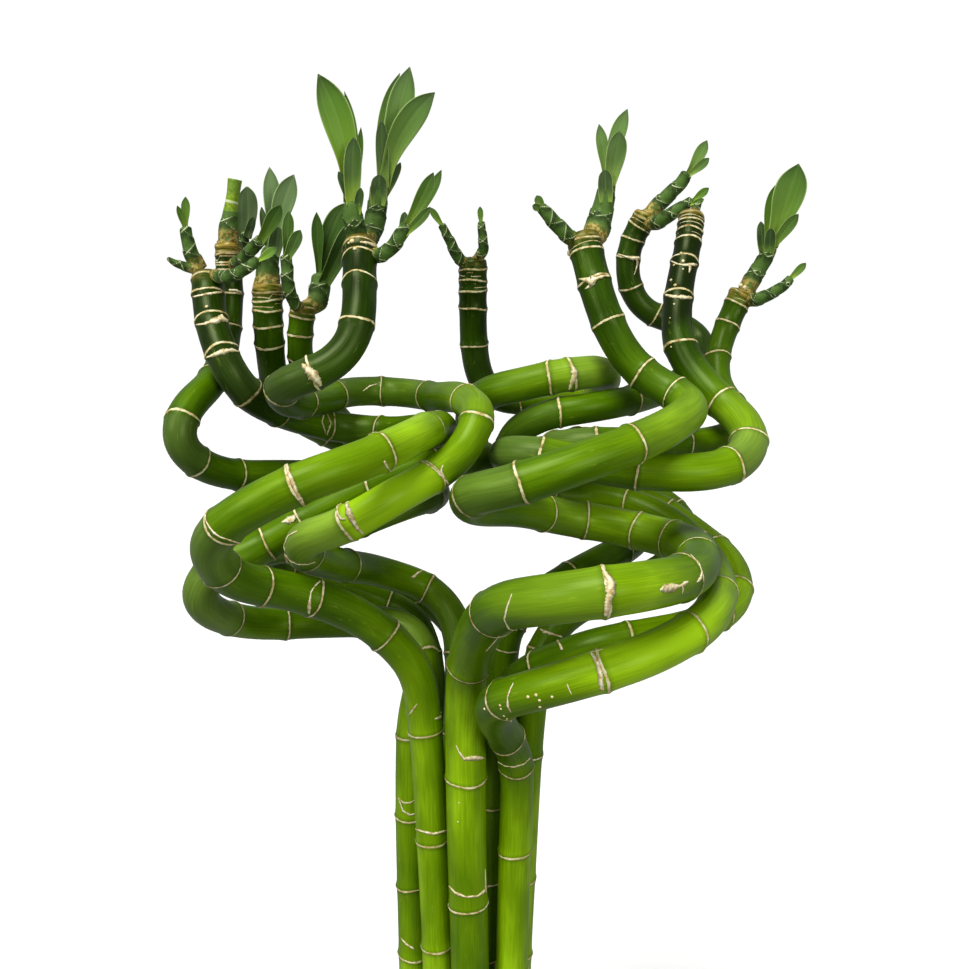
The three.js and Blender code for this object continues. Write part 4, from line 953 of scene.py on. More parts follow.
# %% Scrap and dot tables
# by stalk number, each scrap as points across and down with its half width in millimetres
SCRAPS = {
  1: [
    ((205, 514, 0.4), (206, 521, 0.25), (210, 528, 0.3), (214, 533, 0.5), (220, 537, 0.3),
      (242, 544, 0.35)),
    ((286.5, 462, 0.35), (288.5, 472, 0.5), (294, 486, 0.7), (297, 493, 0.5), (301, 500, 0.6),
      (303.5, 504, 0.35)),
    ((320, 581, 0.4), (315, 586, 0.25), (311, 592, 0.25), (310, 600, 0.4), (309, 606, 0.8),
      (309, 614, 0.3)),
    ((417, 704, 0.12), (413, 710, 0.45), (409, 715, 0.15)),
    ((445, 712, 0.4), (441, 717, 0.7), (435, 719, 0.4)),
    ((415, 829, 0.3), (424, 832, 0.5), (434, 834, 0.7), (446, 831, 0.5)),
    ((384, 461, 0.35), (387, 467, 0.45), (391, 472, 0.15)),
    ((325, 411, 0.25), (322, 422, 0.35), (326, 434, 0.25)),
    ((326, 411, 0.25), (331, 423, 0.35), (327, 435, 0.25)),
    ((196, 325, 0.3), (204, 324, 0.5), (210, 322, 0.9), (217, 320, 1.4), (223, 318, 1.7), (228, 321, 0.7)),
    ((193, 297, 0.35), (207, 294, 0.55), (222, 292, 0.4)),
    ((206, 358, 0.25), (214, 355, 0.7), (222, 352, 1.1), (232, 350, 0.8), (240, 352, 0.3)),
  ],
  2: [
    ((281, 522.4, 0.1), (286, 521, 1.0), (290.5, 519.5, 1.9), (292.5, 520, 2.1), (293.5, 522, 0.5)),
    ((398, 798, 0.3), (404, 803, 0.4), (410, 803, 0.35), (415, 800, 0.3)),
    ((399, 799, 0.3), (403, 811, 0.4), (410, 815, 0.4), (415, 814, 0.3)),
    ((401, 938, 0.35), (406, 944, 0.5), (414, 949, 0.4)),
    ((229, 290, 0.4), (236, 290.5, 0.6), (242, 293, 0.5)),
  ],
  5: [
    ((411, 577, 0.15), (414, 577, 0.7), (418, 573, 0.45), (423, 570, 0.25)),
    ((297, 531, 0.25), (288, 536, 0.4), (284, 546, 0.45), (285.5, 555, 0.8), (290, 561, 0.9),
      (298, 564.5, 0.7), (308, 564.5, 0.4), (315, 562, 0.3)),
    ((340, 499, 0.25), (337, 506, 0.35), (337.5, 513, 0.35), (341, 519, 0.45), (345, 519, 0.35)),
    ((346, 497, 0.35), (347, 506, 0.7), (349, 513, 1.2), (353, 521, 1.0), (357, 528, 0.6), (363, 534, 0.4)),
    ((421, 461, 0.35), (430, 466, 0.4), (438, 472, 0.5), (445, 480, 0.5), (449, 485, 0.3)),
    ((443, 465, 0.15), (441, 471, 0.45), (445, 479, 0.3)),
    ((363, 391, 0.2), (370, 386, 0.35), (377, 384, 0.2)),
    ((302, 364, 0.4), (307, 369, 1.4), (312, 374, 2.0), (317, 380, 1.5), (321, 386, 0.5)),
    ((360, 242, 0.4), (368, 243, 0.6), (374, 245, 0.8), (377, 248, 0.4)),
  ],
  6: [
    ((572, 366, 0.5), (575, 374, 1.5), (573, 381, 1.2), (569, 390, 0.4)),
    ((492, 647, 0.2), (500, 651, 0.3), (508, 653, 0.3), (517, 652, 0.25)),
  ],
  7: [
    ((456, 745, 0.15), (459, 752, 0.4), (464, 759, 0.6), (474, 758, 1.1), (485, 758, 0.3)),
    ((499, 636, 0.15), (494, 642, 0.45), (486, 651, 0.3)),
    ((512, 594, 0.15), (507, 608, 0.4), (504.5, 620, 0.3), (509, 629, 0.4), (517, 631.5, 0.2)),
    ((601, 565, 0.3), (606, 574, 0.8), (611, 581, 1.5), (611, 591, 1.4), (608, 602, 1.0), (606, 616, 0.6)),
    ((660, 590, 0.25), (664, 588.5, 1.1), (670, 588, 1.3), (676, 587, 0.9), (680, 586, 0.4),
      (684, 584, 0.8), (688, 581.5, 0.2)),
    ((682, 585, 0.4), (683, 590, 0.5), (682, 594, 0.1)),
    ((690, 554, 0.15), (699, 563, 0.3), (702, 572, 0.4), (701, 578, 0.8), (697, 582, 0.3)),
    ((449, 886, 0.3), (455, 893, 0.7), (466, 897, 0.4), (478, 896, 0.5), (486, 890, 0.8)),
    ((485, 869, 0.15), (485.5, 880, 0.7), (486, 892, 0.7)),
    ((579, 279, 0.25), (586, 280, 0.8), (591, 281.5, 1.7), (596, 278.5, 0.8), (604, 276, 0.4),
      (610, 276, 0.3)),
    ((592, 282, 1.2), (590, 286, 0.9), (585, 289, 0.2)),
  ],
  8: [
    ((603, 649, 0.15), (596, 651, 0.25), (591, 652, 0.4), (598, 664, 0.7), (600, 672, 0.8),
      (602, 690, 0.7)),
    ((513.5, 683, 0.12), (510, 690, 0.45), (507.5, 698, 0.25), (508, 707, 0.5), (511, 712, 0.25)),
    ((567, 684, 0.12), (569, 689, 0.25), (572, 695, 0.12)),
    ((498, 762, 0.3), (505, 766, 0.4), (514, 767, 0.35), (524, 764, 0.5), (530, 758, 0.3)),
    ((618, 254, 0.25), (624, 256, 0.4), (631, 258.5, 0.7), (637, 258.5, 1.0), (640, 258, 0.4)),
    ((637, 259, 0.9), (637.5, 264, 0.8), (636, 270, 0.35), (634, 275, 0.12)),
  ],
  9: [
    ((557, 640, 0.35), (560, 645, 0.5), (562, 650, 0.5)),
    ((665, 295, 0.4), (672, 296.5, 0.7), (680, 297, 1.0), (688, 297.5, 0.7), (692, 298, 0.4)),
    ((671, 261, 0.3), (677, 264, 0.4), (684, 265, 0.5), (691, 264.5, 0.8), (697, 265, 0.3)),
    ((690, 266, 0.7), (690, 269, 0.6), (689, 273, 0.2)),
  ],
  10: [
    ((540, 629, 0.3), (545, 632, 0.7), (552, 634, 0.5), (562, 637, 0.3)),
  ],
}
# each dot: where it is seen, across and down, and its radius in millimetres
DOTS = {
  1: [(206.6, 306.5, 0.7)],
  5: [(352, 241, 1.0), (355, 248.5, 0.8), (348.5, 243, 0.5)],
  7: [(568.5, 253, 1.2), (459, 803, 0.3), (458, 822, 0.3)],
  8: [(528, 697, 0.55), (536, 695, 0.55), (539.5, 700.5, 0.5), (552, 697, 0.5), (540, 707, 0.5),
    (484.6, 709, 0.5), (500, 705.5, 0.45), (501, 709, 0.4), (504, 716, 0.4), (507, 719, 0.4),
    (511, 721, 0.4)],
  9: [(671, 280, 0.6), (675, 285, 0.7), (670, 290, 0.6), (681, 253, 0.6), (683, 261, 0.7), (674, 265, 0.5),
    (683, 269, 0.4), (674, 304, 0.4), (670, 318, 0.35), (671, 347, 0.35)],
  10: [(740.5, 285, 0.9), (744.5, 287, 0.9)],
}
print("stalks with scraps:", len(SCRAPS), "stalks with root dots:", len(DOTS))

# %% [markdown]
# ## Material: dry plant tissue
#
# The scraps are dead leaf base, a thin papery husk, and the dots are the dry tips of old roots. Both
# are plant fibre without wax: matt, cream to tan in small patches, with an IOR of about 1.45. One
# recipe serves both, because they differ only in colour and in the size of the patches.

# %% Dry plant tissue
def dry_tissue(name, tans, patches_a_metre):
    """Dry plant tissue: matt and fibrous, its colours mixed in patches."""
    dry = bpy.data.materials.new(name)
    tree = empty_tree(dry)
    spot = add_node(tree, "ShaderNodeTexCoord").outputs["Object"]
    patches = add_node(
        tree, "ShaderNodeTexNoise", {"Vector": spot, "Scale": patches_a_metre, "Detail": 5.0})
    colour = add_node(tree, "ShaderNodeValToRGB", {0: patches}, tans)
    bump = add_node(tree, "ShaderNodeBump", {"Strength": 0.5, "Distance": 0.0002, "Height": patches})
    shader = add_node(tree, "ShaderNodeBsdfPrincipled", {
        "Base Color": colour, "Roughness": 0.75, "IOR": 1.45, "Normal": bump})
    add_node(tree, "ShaderNodeOutputMaterial", {"Surface": shader})
    return dry


# patches of about 1.4 mm on the scraps and 1.1 mm on the dots
HUSK = dry_tissue("dry_papery_husk", ((0.34, "#b49860"), (0.5, "#e2d3a2"), (0.66, "#f6efd0")), 700)
ROOT_TIP = dry_tissue("dry_root_tip", ((0.34, "#c9ae62"), (0.5, "#e6d69c"), (0.66, "#f5edc8")), 900)
print("materials:", HUSK.name, ROOT_TIP.name)


# %% [markdown]
# ## Scraps and dots as meshes
#
# A scrap could be painted on, but a torn edge needs a small shadow to look dry and loose. Each is a
# low ragged strip that follows the skin, and each dot is a low round knob. All those of one stalk
# make one piece, and a sight line from the camera finds where each lies.

# %% Scraps and dots
SCRAP_CROWN = 0.2
SCRAP_SINK = 0.15
SCRAP_EDGE = 0.1
SCRAP_STEP_SEEN = 1.1
SCRAP_RAGGED = (0.72, 1.2)
SCRAP_UNEVEN = (0.8, 1.2)
DOT_SIDES = 10
# a root dot's outline, as heights over the skin and half widths, both in its radius
DOT_HEIGHTS = (-0.35, 0.1, 0.45, 0.62)
DOT_WIDTHS = (0.9, 1.0, 0.72, 0.3)


def touch(number, across, down):
    """Where a sight line first meets a stalk, and the way out of its skin there."""
    centres, radii = SURFACES[number - 1]
    way = sight(across, down, 0) - EYE
    from_centre = EYE - centres
    half_b = from_centre @ way
    inside = half_b ** 2 - way.dot(way) * ((from_centre ** 2).sum(1) - radii ** 2)
    if inside.max() <= 0:
        # a sight line that just misses the stalk is brought to its edge
        k = int(np.argmax(inside))
        t = -half_b[k] / way.dot(way)
    else:
        reach = np.where(inside > 0, (-half_b - np.sqrt(np.maximum(inside, 0))) / way.dot(way), np.inf)
        k = int(np.argmin(reach))
        t = reach[k]
    out = unit(EYE + t * way - centres[k])
    return centres[k] + out * radii[k], out


def scrap_strip(number, points, dice):
    """A ragged flattened strip on the skin: rings of four points, and its faces."""
    run = run_length(np.array(points, float)[:, :2])
    count = max(3, int(run[-1] / SCRAP_STEP_SEEN))
    places = np.linspace(0, run[-1], count)
    across, down, half = [np.interp(places, run, values) for values in zip(*points)]
    half = half * dice.uniform(*SCRAP_RAGGED, count)
    at, out = [np.array(values) for values in zip(*(touch(number, u, v) for u, v in zip(across, down)))]
    side = unit(np.cross(out, np.gradient(at, axis=0)))
    left = half * dice.uniform(*SCRAP_UNEVEN, count)
    ring = np.stack([
        at - side * left[:, None] + out * SCRAP_EDGE, at + out * SCRAP_CROWN,
        at + side * half[:, None] + out * SCRAP_EDGE, at - out * SCRAP_SINK], 1)
    return ring.reshape(-1, 3), tube_faces(count, 4)


def root_dot(number, across, down, radius):
    """A low round knob on the skin: its points and faces."""
    at, out = touch(number, across, down)
    rise = np.array(DOT_HEIGHTS)[:, None] * radius
    radii = np.array(DOT_WIDTHS)[:, None] * radius * np.ones(DOT_SIDES)
    dot = tube_points(at + rise * out, radii, round_turns(DOT_SIDES))
    return dot.reshape(-1, 3), tube_faces(len(DOT_HEIGHTS), DOT_SIDES)


dice = np.random.default_rng(29)
for number, scraps in SCRAPS.items():
    strips = [scrap_strip(number, points, dice) for points in scraps]
    dots = [root_dot(number, *dot) for dot in DOTS.get(number, ())]
    points, faces = joined(strips + dots)
    in_strips = sum(len(strip[1]) for strip in strips)
    kinds = [0] * in_strips + [1] * (len(faces) - in_strips)
    piece = make_piece(f"stalk_{number:02d}_scraps", points, faces, [HUSK, ROOT_TIP], face_materials=kinds)
print("scraps:", sum(map(len, SCRAPS.values())), "root dots:", sum(map(len, DOTS.values())))

# %% [markdown]
# ## Material: leaf blade
#
# The leaf blades are mid green with a paler base, fine lengthwise veins, a thin light edge and a dark
# drying tip. Each point of a blade knows how far across and along it lies, so one recipe paints
# blades of every size, and no image has to be fitted to them.

# %% Leaf blade colours
BLADE_GREENS = (
    (0.0, "#a9c340"), (0.18, "#88a832"), (0.45, "#6b9229"), (0.8, "#578028"), (0.94, "#3f5e20"),
    (1.0, "#1f280c"))
# a blade's own places run from -1 to 1 across and from 0 to 1 along. Nine veins to half a blade
# are about 1 mm apart, a little coarse so that they show
VEIN_STRETCH = (9.0, 0.8, 1.0)


def blade_paint(tree):
    """A leaf blade's colour and relief."""
    place = add_node(tree, "ShaderNodeAttribute", attribute_name="skin").outputs["Vector"]
    side, along = add_node(tree, "ShaderNodeSeparateXYZ", {0: place}).outputs[:2]
    across = add_node(tree, "ShaderNodeMath", {0: side}, operation="ABSOLUTE")
    own = add_node(tree, "ShaderNodeAttribute", attribute_name="leaf_mix").outputs["Vector"]
    scaly, grey, deep = add_node(tree, "ShaderNodeSeparateXYZ", {0: own}).outputs
    veins_at = add_node(tree, "ShaderNodeVectorMath", {0: place, 1: VEIN_STRETCH}, operation="MULTIPLY")
    veins = add_node(tree, "ShaderNodeTexNoise", {"Vector": veins_at, "Scale": 1.0, "Detail": 3.0})
    # soft steps: value, where it starts and ends, and what it gives there
    upper, light_vein, dark_vein, middle, outer, tip, edge = [add_node(tree, "ShaderNodeMapRange", {
        "Value": value, "From Min": low, "From Max": high, "To Min": to_low, "To Max": to_high,
    }, interpolation_type="SMOOTHSTEP") for value, low, high, to_low, to_high in (
        (along, 0.08, 0.5, 0.15, 1.0), (veins, 0.5, 0.75, 0.0, 0.12), (veins, 0.45, 0.3, 0.0, 0.12),
        (across, 0.2, 0.0, 0.0, 0.1), (across, 0.45, 0.95, 0.0, 1.0), (along, 0.55, 1.0, 0.0, 0.6),
        (across, 0.9, 0.98, 0.0, 0.6))]
    # scale-like leaves turn dark towards their tops
    dark_top = add_node(tree, "ShaderNodeMath", {0: scaly, 1: upper}, operation="MULTIPLY")
    tip_edge = add_node(tree, "ShaderNodeMath", {0: outer, 1: tip}, operation="MULTIPLY")
    colour = add_node(tree, "ShaderNodeValToRGB", {0: along}, BLADE_GREENS)
    for factor, over in (
            (grey, "#6b8358"), (deep, "#2f5210"), (dark_top, "#354a2a"), (light_vein, "#9cb55c"),
            (dark_vein, "#3f5620"), (middle, "#9db566"), (tip_edge, "#33471f"), (edge, "#b4cb7e")):
        colour = add_node(tree, "ShaderNodeMix", {0: factor, 6: colour, 7: linear(over)}, data_type="RGBA")
    return colour, veins


# %% [markdown]
# ## Material: wrapped scales
#
# A young shoot is wrapped in the bases of its leaves. Each wrap is a scale with a dark blue-green
# face and a thin pale rim, and the rims cross like a plait. The shoot that was cut is a fresher
# green. Blades and scales are both living tissue, satin, with an IOR of 1.42, so they share
# one shader and differ in paint.

# %% Scale colours
SCALE_GREENS = ((0.3, "#1f3010"), (0.5, "#2e461b"), (0.7, "#465f28"))
STUB_GREENS = ((0.3, "#5f7d10"), (0.5, "#7e9c22"), (0.7, "#98b434"))
FOOT_TANS = ((0.32, "#4f3c14"), (0.48, "#85702e"), (0.6, "#b8a45e"), (0.72, "#8a9a40"))
RIM_WANDER = 0.8


def scale_paint(tree, greens):
    """A wrapped shoot's colour and relief. Its grain and dry patches are about 1.2 mm wide."""
    place = add_node(tree, "ShaderNodeAttribute", attribute_name="skin").outputs["Vector"]
    edge_a, edge_b, foot = [
        add_node(tree, "ShaderNodeAttribute", attribute_name=kind).outputs["Fac"]
        for kind in ("edge_a", "edge_b", "foot")]
    grain = add_node(tree, "ShaderNodeTexNoise", {"Vector": place, "Scale": 0.9, "Detail": 4.0})
    patches = add_node(tree, "ShaderNodeTexNoise", {"Vector": place, "Scale": 0.7, "Detail": 5.0})
    from_rim = add_node(tree, "ShaderNodeMath", {0: edge_a, 1: edge_b}, operation="MINIMUM")
    rim_at = add_node(
        tree, "ShaderNodeMath", {0: grain, 1: RIM_WANDER, 2: from_rim}, operation="MULTIPLY_ADD")
    fresh, rim, dry = [add_node(tree, "ShaderNodeMapRange", {
        "Value": value, "From Min": low, "From Max": high, "To Max": to_high,
    }, interpolation_type="SMOOTHSTEP") for value, low, high, to_high in (
        (from_rim, 1.5, 4.5, 0.5), (rim_at, 0.7 + RIM_WANDER / 2, 0.3 + RIM_WANDER / 2, 1.0),
        (patches, 0.36, 0.5, 1.0))]
    dry_foot = add_node(tree, "ShaderNodeMath", {0: foot, 1: dry}, operation="MULTIPLY")
    colour = add_node(tree, "ShaderNodeValToRGB", {0: grain}, greens)
    for factor, over in (
            (fresh, linear("#64893a")), (rim, linear("#cbd8a0")),
            (dry_foot, add_node(tree, "ShaderNodeValToRGB", {0: patches}, FOOT_TANS))):
        colour = add_node(tree, "ShaderNodeMix", {0: factor, 6: colour, 7: over}, data_type="RGBA")
    return colour, add_node(tree, "ShaderNodeMath", {0: grain, 1: rim}, operation="ADD")


def satin_leaf(name, rough, paint, *paint_values):
    """Living leaf tissue under its paint: satin, with a slightly green gloss."""
    leaf = bpy.data.materials.new(name)
    tree = empty_tree(leaf)
    colour, height = paint(tree, *paint_values)
    bump = add_node(tree, "ShaderNodeBump", {"Strength": 0.35, "Distance": 0.0003, "Height": height})
    shader = add_node(tree, "ShaderNodeBsdfPrincipled", {
        "Base Color": colour, "Roughness": rough, "IOR": 1.42, "Normal": bump,
        "Specular IOR Level": 0.4, "Specular Tint": linear("#dae8b4")})
    add_node(tree, "ShaderNodeOutputMaterial", {"Surface": shader})
    return leaf


BLADE = satin_leaf("green_leaf_blade", 0.42, blade_paint)
SCALE = satin_leaf("wrapped_shoot_scales", 0.5, scale_paint, SCALE_GREENS)
STUB = satin_leaf("bright_cut_shoot", 0.5, scale_paint, STUB_GREENS)
print("materials:", BLADE.name, SCALE.name, STUB.name)

# %% [markdown]
# ## The shoots
#
# Where a stalk was cut, buds below the cut grew into new shoots. A shoot is given by its half widths
# in pixels, evenly spaced along it, and by points of its path as across, down and depth. A leaf
# is its base, its tip, its greatest width and its bow in pixels, its turn in degrees, and how
# blunt it is, from 0 to 1. Some leaves carry a grey bloom and some are a deeper green, and one
# shoot was cut off short.

# %% Shoot table
SHOOTS = {
  "shoot_01_left_bud": {
    "wide": (5.4, 5, 4, 1.8),
    "path": [(199, 271, 36), (187, 267, 34), (176.5, 263.5, 32), (167, 258, 31)],
    "leaves": []},
  "shoot_01_upright": {
    "wide": (8.4, 7.8, 6.4, 5.6),
    "path": [(199.5, 269, 38), (191.5, 254, 36), (187.5, 240, 35), (185.5, 226, 35)],
    "deep": 0.4,
    "leaves": [((186, 230, 35), (185.6, 196.5, 35), 9, 0, 10, 0),
      ((184.5, 230, 34.5), (177.2, 205.5, 33), 7, 0, -30, 0)]},
  "shoot_01_right": {
    "wide": (6, 6.4, 6.4, 6, 4.8),
    "path": [(213, 275, 34), (226, 277, 24), (236, 274, 21), (247, 268, 19), (259, 259.5, 18)],
    "leaves": [((256, 262, 18), (277, 247.5, 16), 9, 1, 20, 0)]},
  "shoot_02_stub": {
    "wide": (10.4, 10.2, 9, 7, 6.8, 7.6),
    "path": [(228, 246, 56), (228.5, 232, 56), (230, 218, 56), (231, 207, 56), (233, 195, 56),
      (235, 179.5, 56)],
    "cut": True,
    "leaves": []},
  "shoot_02_leaf": {
    "wide": (5, 5.4, 4.6),
    "path": [(233, 252, 60), (243, 243, 66), (246, 232, 67)],
    "grey": 0.9,
    "leaves": [((245, 238, 67), (247, 186.5, 67), 21, 3, 10, 0.7),
      ((247, 238, 65), (253.5, 217, 65), 9, 1, 20, 1)]},
  "shoot_02_right": {
    "wide": (6, 6.4, 6.4, 5.8),
    "path": [(231, 266, 54), (243, 259, 44), (252, 249, 38), (262, 239, 34)],
    "deep": 0.6,
    "leaves": [((260, 242, 34), (281, 205, 30), 15, 0, 0, 0.3)]},
  "shoot_03_main": {
    "wide": (13, 11.6, 9.6, 8),
    "path": [(267.5, 287, 42), (267.5, 272, 43), (270, 258, 44), (272, 246, 45)],
    "grey": 0.8,
    "leaves": [((272, 248, 46), (269.5, 167, 49), 17, 3, 0, 0),
      ((274, 248, 44.5), (294, 174.5, 44), 22, -6, 0, 0),
      ((268, 250, 45), (261.5, 207, 45), 8, -1, -20, 0.8), ((274, 256, 42), (279, 227, 40), 15, 0, 10, 1)]},
  "shoot_03_bud": {
    "wide": (4.4, 4.6, 4.2, 1.6),
    "path": [(272, 300, 46), (281, 296, 52), (284, 287, 53), (284, 276, 53)],
    "leaves": []},
  "shoot_04_left": {
    "wide": (5.6, 6, 6.4, 6.4, 5.6),
    "path": [(301, 311, 40), (293, 300, 32), (288, 284, 29), (287, 268, 29), (286, 254, 29)],
    "deep": 0.8,
    "leaves": [((286, 257, 30), (289, 211, 31), 12, 0, 0, 0.2),
      ((287, 259, 28), (300.4, 230, 27), 13, 0, 10, 0.5)]},
  "shoot_04_right": {
    "wide": (8, 10.4, 10.6, 8.2),
    "path": [(306, 310, 43), (317.5, 300, 46), (320, 286, 48), (320, 273, 49)],
    "deep": 0.9,
    "leaves": [((319, 277, 49), (316.5, 212, 50), 12, 0, 0, 0),
      ((322, 275, 51), (346, 203, 56), 22, -9, 0, 0.2), ((324, 284, 46), (353, 222, 43), 19, 2, 0, 0.6)]},
  "shoot_05_left": {
    "wide": (10, 10.5, 9.8, 8.4),
    "path": [(358, 248, 27), (356, 232, 24), (353, 216, 22), (352, 201, 22)],
    "leaves": [((353, 206, 20.5), (354, 137.5, 19), 18, -2, 0, 0.8),
      ((350, 203, 24), (318, 74, 22), 31, 17, 0, 0), ((353, 208, 21), (338.5, 171.5, 21), 10, 1, -10, 1),
      ((357, 214, 20.5), (361, 188, 18), 9, 0, 10, 1), ((353, 205, 23.5), (361, 127, 29), 8, 2, 10, 0),
      ((352, 205, 24.5), (344.2, 91, 27), 9, 13, 0, 0)]},
  "shoot_05_middle": {
    "wide": (8, 9.6, 10.6, 9.6, 8.4),
    "path": [(363, 247, 30), (371, 234, 38), (375.5, 218, 41), (378, 200, 41), (379.5, 184, 41)],
    "grey": 0.3,
    "leaves": [((384, 190, 39.5), (381.5, 120, 37), 13, -1, 0, 0.8),
      ((383, 188, 42), (409.8, 67, 45), 26, -2, 0, 0), ((384, 190, 40.5), (434.9, 92.4, 36), 26, -20, 0, 0),
      ((385, 195, 40), (400.5, 162.5, 39), 8, 1, 0, 1), ((381, 190, 43), (400, 73, 50), 13, -16, 0, 0),
      ((378, 206, 38.5), (379.5, 174.5, 37.5), 17, 0, 0, 1)]},
  "shoot_05_right": {
    "wide": (6.4, 7.6, 7.4, 7.2, 6.2),
    "path": [(368, 256, 22), (383, 254, 17), (393, 246, 16), (400, 236, 15), (408, 224, 15)],
    "deep": 0.4,
    "leaves": [((406, 228, 15), (433.5, 172.5, 13), 14, 1, 0, 0.3),
      ((409, 227, 16.3), (441.4, 170, 19), 11, 3, 0, 0.3),
      ((405, 234, 13.8), (430.5, 207, 11), 10, 2, 10, 0.5),
      ((402, 232, 16.3), (405, 212, 18.5), 8, 0, 0, 1)]},
  "shoot_06_left": {
    "wide": (5.6, 6, 5, 3.8),
    "path": [(470, 267, 76), (458, 257, 72), (450, 241, 70), (441, 224, 69)],
    "leaves": [((443, 227, 69), (430, 207.5, 68), 7, 0, 0, 0.3)]},
  "shoot_06_right": {
    "wide": (5, 5.4, 4.6, 3.6),
    "path": [(475, 262, 74), (483, 250, 70), (482.5, 236, 69), (481, 221, 69)],
    "leaves": [((481, 225, 69), (480, 206.5, 69), 6, 0, 0, 0.3)]},
  "shoot_07_left": {
    "wide": (6.6, 7.8, 7.6, 7, 5.4),
    "path": [(578, 244, 32), (566.5, 234.5, 28), (558, 226, 27), (548, 215, 26), (540, 205.5, 26)],
    "leaves": [((543, 210, 26), (536.6, 195.5, 26), 9, 0, 0, 0.6),
      ((543, 209, 25), (532.4, 205.5, 24), 8, 0, 10, 0.6)]},
  "shoot_07_right": {
    "wide": (11.4, 13, 11.6, 9.6, 7.8),
    "path": [(590, 242, 34), (597.5, 228, 38), (602, 211, 39), (605.5, 196, 39), (608, 181, 39)],
    "grey": 0.35,
    "leaves": [((609, 186, 37), (619.5, 131, 35), 20, 2, 0, 0.5),
      ((608, 184, 41), (627.6, 109, 43), 16, -7, 0, 0), ((606, 184, 40), (599, 124, 42), 12, 2, 0, 0),
      ((606, 203, 36), (605, 169.5, 35), 15, 0, 0, 1)]},
  "shoot_08_upper": {
    "wide": (7.6, 8, 7.4, 6.6, 5.8),
    "path": [(647, 217, 109), (659, 204.5, 110), (668.5, 195, 109), (679.5, 184.5, 108), (688, 172.5, 107)],
    "grey": 0.3,
    "leaves": [((686, 177, 108), (707.2, 140.2, 108), 12, 1, 0, 0),
      ((687, 176, 105.5), (709.2, 158, 104), 9, 1, 0, 0.3)]},
  "shoot_08_lower": {
    "wide": (6, 7.4, 7, 6, 4.6),
    "path": [(646, 225, 106), (660, 221, 99), (670, 214.5, 96), (682, 207, 94), (693, 200, 93)],
    "leaves": [((690, 203, 94), (709, 187.8, 92), 8, 0, 0, 0),
      ((690, 204, 91.5), (704, 199, 90), 6, 1, 0, 0.3)]},
  "shoot_09_tip": {
    "wide": (5.6, 4.6, 1.6),
    "path": [(692, 217, 70), (696, 209, 70), (701, 200.5, 70)],
    "leaves": []},
  "shoot_10_main": {
    "wide": (8.6, 8.8, 8, 7.4, 6.4),
    "path": [(745, 294, 87), (752, 280, 88), (760, 267, 88), (767, 254.5, 87), (772, 241, 86)],
    "deep": 0.45,
    "leaves": [((771, 247, 86), (798.6, 163.8, 85), 31, 1, 0, 0),
      ((768, 248, 87.5), (779, 182, 91), 14, -6, 0, 0),
      ((771, 249, 84.8), (798.6, 214, 81), 12, -1, 0, 0.3),
      ((764, 258, 88), (760.8, 221.5, 90), 10, -1, -10, 1),
      ((769, 254, 84.8), (771, 228, 82), 11, 0, 0, 1)]},
  "shoot_10_right": {
    "wide": (6.2, 6.8, 6, 5.4, 4.2),
    "path": [(746, 301, 84), (760, 298.5, 77), (770, 294, 75), (782, 287, 73), (792, 277.5, 72)],
    "leaves": [((789, 280, 72), (806, 263, 71), 8, 0, 0, 0.4)]},
}
print("shoots:", len(SHOOTS))

# %% [markdown]
# ## Wrapped scales
#
# A shoot is a short tube whose surface steps outward at each scale and in again above its rim. The
# rims rise to a point on alternate sides, as the leaves do. Separate scales would be truer to the
# plant, but dozens of them would cross each other, so the steps are part of one tube.

# %% Shoot tubes
SHOOT_SIDES = 24
SHOOT_STEP = 0.45
# how far each scale starts above the last on a shoot of this half width, in millimetres, and the least
# and greatest share of that on thinner and thicker shoots
SCALE_RISE = 4.4
SCALE_RISE_HALF = 3.2
SCALE_RISE_SHARES = (0.6, 1.3)
# where round the shoot a rim comes to its point, in radians, and how high and how sharp the point is
FIRST_POINT = 0.6
POINT_A_LEAF = 0.2
RIM_POINT = 1.5
RIM_CURVE = 1.2
# a scale starts at this share of the half width and widens by this much, along this curve
SCALE_FOOT = 0.93
SCALE_STEP = 0.15
SCALE_STEP_CURVE = 1.5
# a tip is rounded over this share of its half width, and closes by this much
TIP_ROUND = 0.5
TIP_CLOSE = 0.9
# along the cut stub, in shares of its length: its scales end, their rims end, its bright skin starts
# and its one joint lies
SCALES_END = 0.42
RIMS_END = 0.46
STUB_BARE_FROM = 0.5
JOINT_AT = 0.66
# in millimetres: how long the scales take to fade, and how far off the missing rims are said to be
SCALES_FADE = 4
NO_RIM = 9.0
# dry husk covers this share of a shoot's foot and fades over this many millimetres
DRY_FOOT = 0.16
DRY_FADE = 3.5
# each letter of a shoot's name shifts its pattern by this many millimetres, so that shoots differ
SHOOTS_APART = 40


